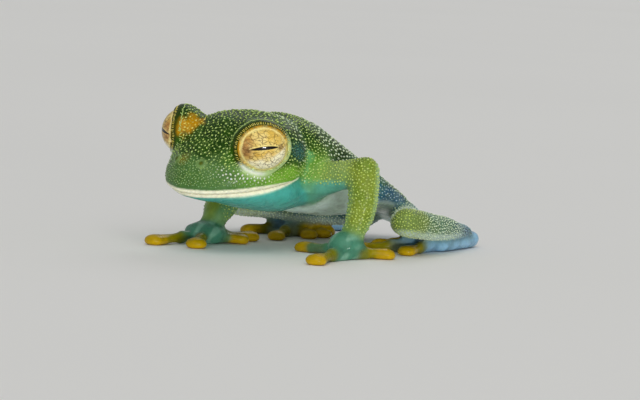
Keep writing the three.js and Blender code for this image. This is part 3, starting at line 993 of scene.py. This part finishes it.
class Granules:
    """Granules on the skin: their places, sizes, colours and directions."""

    def __init__(self, skin, sites, way, length, width, foot, cap):
        self.root, self.out, self.way = sites.places, sites.normals, way
        self.length, self.width, self.foot, self.cap = length, width, foot, cap
        self.uv = skin.uv[sites.rows]

    def part(self, keep):
        """Only those of the granules for which keep is True."""
        other = object.__new__(Granules)
        other.__dict__ = {name: value[keep] for name, value in self.__dict__.items()}
        return other

    def piece(self, name):
        corners, faces = dome()
        count, per = len(self.root), len(corners)
        across = np.cross(self.out, self.way)
        height = self.width * DOME_HEIGHT + SUNK
        x, y, h = (corners[:, axis][None, :, None] for axis in range(3))
        places = (
            self.root[:, None]
            + x * (self.way * self.length[:, None] / 2)[:, None]
            + y * (across * self.width[:, None] / 2)[:, None]
            + self.out[:, None] * (h * height[:, None, None] - SUNK)
        )
        tones = blend(self.foot[:, None], self.cap[:, None], smooth(corners[:, 2], 0.35, 0.85))
        shift = np.arange(count)[:, None] * per
        every = [row for face in faces for row in (np.array(face) + shift).tolist()]
        made = mesh_object(name, places.reshape(-1, 3), every)
        give(made, "granule_tone", tones.reshape(-1, 3))
        uv = self.uv[:, None] + corners[None, :, :2] * PATCH / 2
        give_map(made, uv.reshape(-1, 2))
        return made


def skin_granules(skin, coat):
    """All granules of the coat, and the places that they stand on."""
    sites = scattered(skin, coat)
    rows = sites.rows
    spread = np.clip(rng.normal(1, 0.16, (len(rows), 2)), 0.6, 1.5)
    cap = coat.paint.tone[rows] * rng.normal(1, 0.1, (len(rows), 1))
    foot = blend(skin.tone[rows], cap, 0.12)
    length, width = coat.length[rows] * spread[:, 0], coat.width[rows] * spread[:, 1]
    return Granules(skin, sites, lengthways(sites), length, width, foot, cap), sites


# Rings of rays round the upper edge of an eye: how far past the edge, length, width, spacing and colour.
RAYS = (
    (0.3, 0.4, 0.07, 0.16, "granule gold"),
    (0.66, 0.36, 0.08, 0.2, "granule green"),
)


def lid_granules(skin):
    """Long narrow granules that stand like rays round the upper edge of each eye."""
    rows, ways, sizes, caps = [], [], [], []
    for side in SIDES:
        axes = eye_axes(side)
        rear, up, out = round_eye(skin.points.T, side)
        past = past_opening(rear, up)
        close = np.flatnonzero((past > 0) & (past < 1.2) & (out > -0.3))
        turn_of = np.arctan2(up[close], rear[close])
        for far, length, width, spacing, colour_name in RAYS:
            gap = spacing / (OPENING[0] + far)
            for turn in np.arange(math.radians(-24), math.radians(222), gap):
                turn += gap * rng.uniform(-0.2, 0.2)
                off = np.angle(np.exp(1j * (turn_of - turn))) * OPENING[0]
                row = close[np.hypot(off, past[close] - far).argmin()]
                spoke = np.array([math.cos(turn), math.sin(turn), 0]) @ axes
                normal = skin.normals[row]
                rows.append(row)
                ways.append(unit(spoke - (spoke @ normal) * normal))
                sizes.append((length * rng.uniform(0.8, 1.2), width))
                caps.append(colour_name)
    rows, sizes = np.array(rows), np.array(sizes)
    cap = np.array([COLOURS[name] for name in caps])
    foot = blend(skin.tone[rows], cap, 0.3)
    sites = Sites(rows, skin.points[rows], skin.normals[rows])
    return Granules(skin, sites, np.array(ways), sizes[:, 0], sizes[:, 1], foot, cap)


# Meshes


def in_scene(name, data):
    """A new object in the scene."""
    made = bpy.data.objects.new(name, data)
    bpy.context.scene.collection.objects.link(made)
    return made


def mesh_object(name, points, faces):
    """A new smooth object from places in mm and faces."""
    mesh = bpy.data.meshes.new(name)
    mesh.from_pydata((np.asarray(points) * MM).tolist(), [], faces)
    mesh.polygons.foreach_set("use_smooth", [True] * len(mesh.polygons))
    mesh.update()
    return in_scene(name, mesh)


def give(piece, name, values):
    """Stores one number, one colour or, with a name that ends in _place, one vector for each vertex."""
    values = np.asarray(values, np.float32)
    attributes = piece.data.attributes
    if values.ndim == 1:
        attributes.new(name, "FLOAT", "POINT").data.foreach_set("value", values)
    elif name.endswith("_place"):
        attributes.new(name, "FLOAT_VECTOR", "POINT").data.foreach_set("vector", values.ravel())
    else:
        rgba = np.concatenate([values, np.ones((len(values), 1), np.float32)], axis=1)
        attributes.new(name, "FLOAT_COLOR", "POINT").data.foreach_set("color", rgba.ravel())


def loop_corners(mesh):
    corners = np.empty(len(mesh.loops), np.int32)
    mesh.loops.foreach_get("vertex_index", corners)
    return corners


def give_map(piece, uv):
    """The OFBake map, from one place for each vertex."""
    layer = piece.data.uv_layers.new(name="OFBake")
    layer.uv.foreach_set("vector", uv[loop_corners(piece.data)].astype(np.float32).ravel())


def unwrapped(piece):
    """Unwraps the skin into its OFBake map and returns one place on it for each vertex."""
    mesh = piece.data
    mesh.uv_layers.new(name="OFBake")
    bpy.context.view_layer.objects.active = piece
    piece.select_set(True)
    bpy.ops.object.mode_set(mode="EDIT")
    bpy.ops.mesh.select_all(action="SELECT")
    bpy.ops.uv.smart_project(angle_limit=1.15, island_margin=0.004, scale_to_bounds=True)
    bpy.ops.object.mode_set(mode="OBJECT")
    piece.select_set(False)
    uv = np.empty(len(mesh.loops) * 2, np.float32)
    mesh.uv_layers["OFBake"].uv.foreach_get("vector", uv)
    places = np.zeros((len(mesh.vertices), 2))
    places[loop_corners(mesh)] = uv.reshape(-1, 2)
    return places


# Eyes


def slit_places(rear, up, side):
    """Places on the eye along the slit pupil and above it."""
    rear, up = rear - SLIT_PLACE[side][0], up - SLIT_PLACE[side][1]
    along = rear * math.cos(SLIT_TILT) + up * math.sin(SLIT_TILT)
    over = up * math.cos(SLIT_TILT) - rear * math.sin(SLIT_TILT)
    return along, over + 0.05 * along**2


def slit_distance(along, over):
    """Distance in mm from the edge of the slit pupil, negative inside."""
    half = SLIT_HALF_HEIGHT * np.clip(1 - (along / SLIT_HALF) ** 2, 0, 1) ** 0.7
    past = np.maximum(np.abs(along) - SLIT_HALF, 0)
    return np.hypot(np.maximum(np.abs(over) - half, 0), past) - np.maximum(half - np.abs(over), 0)


def painted_iris(place, side):
    """Colours of an eyeball with painted light on the lower half of its iris, how strong its net of veins is,
    and the distance from its slit pupil.
    """
    rear, up = place[:, 0], place[:, 1]
    share = opening_share(rear, up)
    patches = ripple(place, 0.45, 31)
    along, over = slit_places(rear, up, side)
    slit = slit_distance(along, over)
    paint = Paint(len(place), "iris gold")
    paint.coat("iris cream", 0.3 + 0.3 * patches)
    # Painted light: the lower half of the iris is painted paler, as if lit, so the upper half looks shaded by
    # the lid.
    paint.coat("iris painted light", smooth(up - 0.45 * rear + 0.2 * patches, -0.3, -1.2) * 0.95)
    paint.coat("iris amber", np.exp(-(((rear + 0.6) / 0.45) ** 2 + ((up + 0.5) / 0.25) ** 2)) * 0.8)
    paint.coat("iris amber", np.exp(-(((rear - 0.6) / 0.3) ** 2 + ((up + 0.3) / 0.16) ** 2)) * 0.4)
    paint.coat("iris rust", smooth(rear, -0.7, -1.5) * smooth(np.abs(up), 1.3, 0.5) * 0.85)
    ends = np.exp(-(((np.abs(along) - 1.35) / 0.26) ** 2 + (over / 0.2) ** 2))
    paint.coat("iris brown", ends * 0.95)
    paint.coat("iris rim", bump_at(slit, 0.08, 0.07) * smooth(over, 0, 0.08) * 0.8)
    paint.coat("iris rim", smooth(share + 0.02 * patches, 0.9, 0.95) * 0.95)
    ring = bump_at(share, 0.93, 0.022) * smooth(facing(rear, up, (0.8, -0.6)), 0.0, 0.6)
    paint.coat("iris brown", ring * 0.6)
    paint.coat("iris rust", smooth(share, 0.97, 1.01) * 0.4)
    paint.coat("eyeball", smooth(share, 1.03, 1.06) + (place[:, 2] < 0))
    net = smooth(share, 0.97, 0.86) * (0.85 + 0.2 * patches) * smooth(slit, 0.03, 0.12)
    return paint.tone, np.clip(net, 0, 1), slit


def ball_places(polar):
    """Rings of places on a ball of radius 1, smaller where the lids cover it, and then its two poles."""
    turns = np.arange(EYE_SEGMENTS) * 2 * math.pi / EYE_SEGMENTS
    shrink = 1 - 0.05 * smooth(polar, math.radians(FINE_TURN), math.radians(100))
    rings = np.empty((len(polar), EYE_SEGMENTS, 3))
    rings[..., 0] = (shrink * np.sin(polar))[:, None] * np.cos(turns)
    rings[..., 1] = (shrink * np.sin(polar))[:, None] * np.sin(turns)
    rings[..., 2] = (shrink * np.cos(polar))[:, None]
    return np.concatenate([rings.reshape(-1, 3), [[0, 0, 1], [0, 0, -0.95]]])


def ball_faces(rows):
    """Faces between that number of rings, and from the first and the last one to the poles."""
    front_pole = rows * EYE_SEGMENTS
    last = (rows - 1) * EYE_SEGMENTS
    faces = []
    for i in range(EYE_SEGMENTS):
        j = (i + 1) % EYE_SEGMENTS
        faces.append([front_pole, i, j])
        for first in range(0, last, EYE_SEGMENTS):
            faces.append([first + i, first + EYE_SEGMENTS + i, first + EYE_SEGMENTS + j, first + j])
        faces.append([last + j, last + i, front_pole + 1])
    return faces


def eye_piece(side):
    """One eyeball, a little flattened along the line of sight."""
    front = np.linspace(0, FINE_TURN, 58)[1:]
    rear = np.linspace(FINE_TURN, 180, 14)[1:-1]
    polar = np.radians(np.concatenate([front, rear]))
    place = ball_places(polar) * EYE_HALF
    faces = ball_faces(len(polar))
    axes = eye_axes(side)
    if np.linalg.det(axes) < 0:
        faces = [face[::-1] for face in faces]
    piece = mesh_object(f"eyeball_{side}", place @ axes + EYES[side], faces)
    tone, net, slit = painted_iris(place, side)
    give(piece, "iris_tone", tone)
    give(piece, "iris_net", net)
    give(piece, "slit", slit)
    give(piece, "eye_place", place)
    return piece


# Shader nodes


def add(tree, kind, wires=None, **settings):
    """Adds a node. wires gives its inputs, each as a value or as the socket that feeds it."""
    node = tree.nodes.new(kind)
    for name, value in settings.items():
        setattr(node, name, value)
    for name, value in (wires or {}).items():
        if isinstance(value, bpy.types.NodeSocket):
            tree.links.new(value, node.inputs[name])
        else:
            node.inputs[name].default_value = value
    return node


def mixed(tree, first, second, share, kind="MIX"):
    """Colour mix. first, second and share are values or sockets."""
    node = add(tree, "ShaderNodeMix", {0: share, 6: first, 7: second}, data_type="RGBA", blend_type=kind)
    return node.outputs[2]


def ramp(tree, value, start, end, low=0.0, high=1.0):
    """The value's way from start to end as a number from low to high, with soft ends."""
    wires = {"Value": value, "From Min": start, "From Max": end, "To Min": low, "To Max": high}
    return add(tree, "ShaderNodeMapRange", wires, interpolation_type="SMOOTHSTEP").outputs["Result"]


def colour(name):
    return (*COLOURS[name], 1)


def maths(tree, operation, first, second):
    return add(tree, "ShaderNodeMath", {0: first, 1: second}, operation=operation).outputs[0]


def vectors(tree, operation, first, second):
    return add(tree, "ShaderNodeVectorMath", {0: first, 1: second}, operation=operation).outputs[0]


def object_place(tree):
    return add(tree, "ShaderNodeTexCoord").outputs["Object"]


def noise(tree, place, scale, detail, kind="Fac"):
    return add(tree, "ShaderNodeTexNoise", {"Vector": place, "Scale": scale, "Detail": detail}).outputs[kind]


def cell_distance(tree, place, scale, feature):
    """Distance from the middle or, with DISTANCE_TO_EDGE, from the edge of irregular cells."""
    wires = {"Vector": place, "Scale": scale}
    return add(tree, "ShaderNodeTexVoronoi", wires, feature=feature).outputs["Distance"]


def socket_kind(label):
    return "NodeSocketColor" if label.endswith("Color") else "NodeSocketFloat"


def node_group(name, inputs, outputs):
    """A node group from its inputs with their first values and from the names of its outputs."""
    group = bpy.data.node_groups.new(name, "ShaderNodeTree")
    for label, value in inputs.items():
        kind = socket_kind(label)
        group.interface.new_socket(name=label, in_out="INPUT", socket_type=kind).default_value = value
    for label in outputs:
        group.interface.new_socket(name=label, in_out="OUTPUT", socket_type=socket_kind(label))
    return group, group.nodes.new("NodeGroupInput").outputs, group.nodes.new("NodeGroupOutput").inputs


def mottling_group():
    """Cloudy changes of brightness and a slight drift towards a second colour."""
    grey = (0.5, 0.5, 0.5, 1)
    inputs = {"Color": grey, "Second Color": grey, "Scale": 1000.0, "Amount": 0.3}
    group, given, result = node_group("mottling", inputs, ["Color"])
    place = object_place(group)
    clouds = ramp(group, noise(group, place, given["Scale"], 3.0), 0.45, 0.75)
    drift = maths(group, "MULTIPLY", clouds, given["Amount"])
    tinted = mixed(group, given["Color"], given["Second Color"], drift)
    grain = noise(group, place, maths(group, "MULTIPLY", given["Scale"], 3.1), 2.0)
    light = ramp(group, grain, 0.3, 0.7, 0.72, 1.25)
    shade = add(group, "ShaderNodeCombineColor", {0: light, 1: light, 2: light}).outputs[0]
    group.links.new(mixed(group, tinted, shade, given["Amount"], "MULTIPLY"), result["Color"])
    return group


def wet_film_group():
    """Roughness and coat of a surface that is covered with a broken film of water."""
    inputs = {"Scale": 900.0, "Dry Roughness": 0.45, "Wet Roughness": 0.2, "Wetness": 0.5}
    group, given, result = node_group("wet film", inputs, ["Roughness", "Coat"])
    patches = noise(group, object_place(group), given["Scale"], 2.0)
    film = ramp(group, maths(group, "ADD", patches, given["Wetness"]), 0.6, 1.2)
    wires = {"Value": film, "To Min": given["Dry Roughness"], "To Max": given["Wet Roughness"]}
    group.links.new(add(group, "ShaderNodeMapRange", wires).outputs["Result"], result["Roughness"])
    group.links.new(ramp(group, film, 0.0, 1.0, 0.0, 0.2), result["Coat"])
    return group


def fine_relief_group():
    """Height of tiny wrinkles and of close-set warts, and where the warts are."""
    inputs = {"Scale": 6000.0, "Wart Share": 0.5}
    group, given, result = node_group("fine relief", inputs, ["Height", "Wart"])
    place = object_place(group)
    wart = ramp(group, cell_distance(group, place, given["Scale"], "F1"), 0.55, 0.15)
    wires = {0: given["Wart Share"], 2: noise(group, place, given["Scale"], 4.0), 3: wart}
    height = add(group, "ShaderNodeMix", wires, data_type="FLOAT").outputs[0]
    group.links.new(height, result["Height"])
    group.links.new(wart, result["Wart"])
    return group


MOTTLING = mottling_group()
WET_FILM = wet_film_group()
FINE_RELIEF = fine_relief_group()


def place_group(tree, group, wires):
    return add(tree, "ShaderNodeGroup", wires, node_tree=group).outputs


def mottled(tree, tone, second, scale, amount):
    """The tone stored in an attribute, with clouds of a second colour."""
    wires = {"Color": attribute(tree, tone), "Second Color": colour(second), "Scale": scale, "Amount": amount}
    return place_group(tree, MOTTLING, wires)["Color"]


def wetted(tree, shader, dry, wet, wetness):
    """Wires a broken film of water to a shader's roughness, and returns the film's coat."""
    film = place_group(tree, WET_FILM, {"Dry Roughness": dry, "Wet Roughness": wet, "Wetness": wetness})
    tree.links.new(film["Roughness"], shader["Roughness"])
    return film["Coat"]


def attribute(tree, name, kind="Color"):
    return add(tree, "ShaderNodeAttribute", attribute_name=name, attribute_type="GEOMETRY").outputs[kind]


def material_with(name, constants):
    """A new material, its tree and its shader, with constant values set on the shader's sockets."""
    made = bpy.data.materials.new(name)
    made.use_nodes = True
    shader = made.node_tree.nodes["Principled BSDF"]
    for socket, value in constants.items():
        shader.inputs[socket].default_value = value
    return made, made.node_tree, shader.inputs


def bumped(tree, height, distance, strength=1.0):
    wires = {"Height": height, "Distance": distance, "Strength": strength}
    return add(tree, "ShaderNodeBump", wires).outputs["Normal"]


FLESH = {
    "Subsurface Weight": 0.15,
    "Subsurface Radius": (1.0, 0.8, 0.4),
    "Subsurface Scale": 0.0004,
    "Specular IOR Level": 0.1,
    "Coat Roughness": 0.12,
    "Coat IOR": 1.33,
}


def skin_material():
    """Painted tone with clouds, pale points between the granules, a wet film and fine relief."""
    made, tree, shader = material_with("glass_frog_skin", FLESH)
    tone = mottled(tree, "skin_tone", "deep green", 1100.0, 0.22)
    grainy = attribute(tree, "grainy", "Fac")
    fine = place_group(tree, FINE_RELIEF, {"Scale": 5200.0, "Wart Share": grainy})
    points = ramp(tree, maths(tree, "MULTIPLY", fine["Wart"], grainy), 0.35, 1.0, 0.0, 0.6)
    paler = mixed(tree, tone, colour("granule green"), 0.5)
    tree.links.new(mixed(tree, tone, paler, points), shader["Base Color"])
    tree.links.new(wetted(tree, shader, 0.46, 0.24, 0.5), shader["Coat Weight"])
    tree.links.new(bumped(tree, fine["Height"], 0.00005, 0.6), shader["Normal"])
    return made


def granule_material():
    """Pale waxy caps, wet on top."""
    made, tree, shader = material_with("granule", FLESH)
    tree.links.new(mottled(tree, "granule_tone", "granule white", 2500.0, 0.2), shader["Base Color"])
    tree.links.new(wetted(tree, shader, 0.4, 0.16, 0.6), shader["Coat Weight"])
    fine = place_group(tree, FINE_RELIEF, {"Scale": 16000.0, "Wart Share": 0.2})
    tree.links.new(bumped(tree, fine["Height"], 0.00001, 0.4), shader["Normal"])
    return made


def vein_net(tree):
    """How dark the veins of the iris are: a wide net of strong ones and a close net of hairs."""
    place = attribute(tree, "eye_place", "Vector")
    bent = vectors(tree, "MULTIPLY", noise(tree, place, 2.2, 4.0, "Color"), (0.5, 0.4, 0.0))
    flat = vectors(tree, "MULTIPLY", vectors(tree, "ADD", place, bent), (0.62, 1.15, 0.0))
    veins = ramp(tree, cell_distance(tree, flat, 3.4, "DISTANCE_TO_EDGE"), 0.09, 0.015)
    hairs = ramp(tree, cell_distance(tree, flat, 8.5, "DISTANCE_TO_EDGE"), 0.12, 0.0, 0.0, 0.35)
    return maths(tree, "MULTIPLY", maths(tree, "MAXIMUM", veins, hairs), attribute(tree, "iris_net", "Fac"))


def eye_material():
    """Golden iris with a net of brown veins, a black slit and a clear wet surface."""
    clear = {"Coat Weight": 0.7, "Coat Roughness": 0.02, "Coat IOR": 1.36, "Specular IOR Level": 0.1}
    made, tree, shader = material_with("eyeball", clear)
    tone = mottled(tree, "iris_tone", "iris cream", 3200.0, 0.3)
    net = vein_net(tree)
    veined = mixed(tree, tone, colour("iris net"), ramp(tree, net, 0.0, 1.0, 0.0, 0.75))
    inside = ramp(tree, attribute(tree, "slit", "Fac"), 0.02, -0.015)
    tree.links.new(mixed(tree, veined, SLIT_BLACK, inside), shader["Base Color"])
    wetted(tree, shader, 0.5, 0.4, 0.5)
    tree.links.new(bumped(tree, net, 0.00003, 0.5), shader["Normal"])
    return made


# Camera and studio

# Lamps with a fixed place: where each shines from in mm, how strongly, and its tint
KEY = {"source": (150, -180, 230), "power": 1.3, "tint": (1, 0.98, 0.94)}
RIM = {"source": (-80, 200, 180), "power": 0.3}
FLASH_POWER = 4.6
FLASH_WIDTH = 130  # mm
FLOOR_HALF = 3000  # half width in mm
GLOW = 0.36  # strength of the light from all round


def camera():
    """The camera of the photograph: from the front left, low, slightly rolled."""
    azimuth, elevation, roll = math.radians(44), math.radians(5), math.radians(2.5)
    distance = 250
    lens, sensor, width = 168.75, 36, 640
    aim = HeadAxes.origin + np.array([-0.19, -SNOUT_AHEAD, -4.41])  # below the tip of the snout
    aim_across, aim_up = -142, 7.5  # where the aim is seen, in pixels from the middle of the frame

    level = math.cos(elevation)
    back = Vector((math.sin(azimuth) * level, -math.cos(azimuth) * level, math.sin(elevation)))
    right = Vector((math.cos(azimuth), math.sin(azimuth), 0))
    axes = Matrix((right, back.cross(right), back)).transposed() @ Matrix.Rotation(roll, 3, "Z")
    towards = Vector((aim_across, aim_up, -lens / sensor * width)).normalized()
    turn = towards.rotation_difference(Vector((0, 0, -1))).to_matrix()
    data = bpy.data.cameras.new("camera")
    data.lens = lens
    data.sensor_width = sensor
    data.clip_start = 0.01
    data.clip_end = 10
    holder = in_scene("camera", data)
    place = Vector(aim) + back * distance
    holder.matrix_world = Matrix.Translation(place * MM) @ (axes @ turn).to_4x4()
    bpy.context.scene.camera = holder
    return np.array(place)


def lamp(name, kind, source, power, tint=(1, 1, 1)):
    """A lamp that shines from that place, in mm, at a place 5 mm over the middle of the floor."""
    data = bpy.data.lights.new(name, kind)
    data.energy = power
    data.color = tint
    holder = in_scene(name, data)
    holder.location = Vector(source) * MM
    holder.rotation_euler = (Vector((0, 0, 5)) - Vector(source)).to_track_quat("-Z", "Y").to_euler()
    return data


def flash_place(camera_place):
    """Where the flash stands so that the left eye mirrors it into the camera."""
    rear, up = CATCHLIGHT
    out = EYE_HALF[2] * math.sqrt(1 - (rear / EYE_HALF[0]) ** 2 - (up / EYE_HALF[1]) ** 2)
    place = np.array([rear, up, out])
    axes = eye_axes("left")
    normal = unit(place / np.square(EYE_HALF)) @ axes
    mirror = EYES["left"] + place @ axes
    view = unit(camera_place - mirror)
    return mirror + FLASH_DISTANCE * (2 * (normal @ view) * normal - view)


def lights(camera_place):
    """A broad soft key, a soft rim from behind and the flash that the left eye mirrors."""
    lamp("key", "SUN", **KEY).angle = math.radians(60)
    lamp("rim", "SUN", **RIM).angle = math.radians(30)
    lamp("flash", "AREA", flash_place(camera_place), FLASH_POWER).size = FLASH_WIDTH * MM


def floor_material():
    """Pale matt board with barely visible clouds."""
    made, tree, shader = material_with("floor", {"Roughness": 0.7})
    clouds = noise(tree, object_place(tree), 6.0, 3.0)
    board = mixed(tree, (0.84, 0.83, 0.81, 1), (0.88, 0.87, 0.85, 1), clouds)
    tree.links.new(board, shader["Base Color"])
    return made


def floor():
    corners = [(x * FLOOR_HALF, y * FLOOR_HALF, 0) for x, y in ((-1, -1), (1, -1), (1, 1), (-1, 1))]
    ground = mesh_object("floor", corners, [[0, 1, 2, 3]])
    ground.data.materials.append(floor_material())


def surroundings():
    """Soft light from all round. The camera sees a paler tone than the one that lights the frog."""
    world = bpy.data.worlds.new("studio")
    world.use_nodes = True
    tree = world.node_tree
    glow = tree.nodes["Background"]
    glow.inputs["Color"].default_value = (0.9, 0.93, 0.95, 1)
    glow.inputs["Strength"].default_value = GLOW
    backdrop = add(tree, "ShaderNodeBackground", {"Color": (0.78, 0.78, 0.76, 1)})
    seen = add(tree, "ShaderNodeLightPath").outputs["Is Camera Ray"]
    both = add(tree, "ShaderNodeMixShader", {0: seen, 1: glow.outputs[0], 2: backdrop.outputs[0]})
    tree.links.new(both.outputs[0], tree.nodes["World Output"].inputs["Surface"])
    bpy.context.scene.world = world
    bpy.context.scene.view_settings.view_transform = "Standard"


# The whole frog


def make_skin():
    """The skin's shape and its one piece, with tones and the unwrap that the granules share."""
    skin = Skin()
    piece = mesh_object("skin", skin.points, skin.faces)
    skin.tone = painted(skin)
    skin.uv = unwrapped(piece)
    give(piece, "skin_tone", skin.tone)
    piece.data.materials.append(skin_material())
    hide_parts(*[name for names in REGIONS.values() for name in names])
    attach(piece, "root")
    return skin, piece


def make_granules(skin, skin_piece):
    """The coat, in one piece for each part of the body, and the rays round the eyes."""
    coat = planned_coat(skin)
    give(skin_piece, "grainy", coat.cover)
    granules, sites = skin_granules(skin, coat)
    names = list(skin.shares)
    most = np.array([skin.shares[name][sites.rows] for name in names]).argmax(axis=0)
    parts = {
        "granules_head": (("head", "jaw"), "skin_green"),
        "granules_back": (("trunk",), "skin_green"),
        "granules_arms": (("upper arm", "forearm", "hand", "finger"), "skin_green"),
        "granules_legs": (("thigh", "shank", "foot", "toe"), "skin_pale"),
    }
    wax = granule_material()
    for name, (regions, slot) in parts.items():
        keep = np.isin(most, [names.index(region) for region in regions])
        finish(granules.part(keep).piece(name), wax)
    finish(lid_granules(skin).piece("granules_lids"), wax)


def finish(piece, material):
    piece.data.materials.append(material)
    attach(piece, "root")


def make_eyes():
    clear = eye_material()
    for side in SIDES:
        piece = eye_piece(side)
        finish(piece, clear)
        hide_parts(f"eye_{side}")


lights(camera())
floor()
surroundings()
skin, skin_piece = make_skin()
make_granules(skin, skin_piece)
make_eyes()
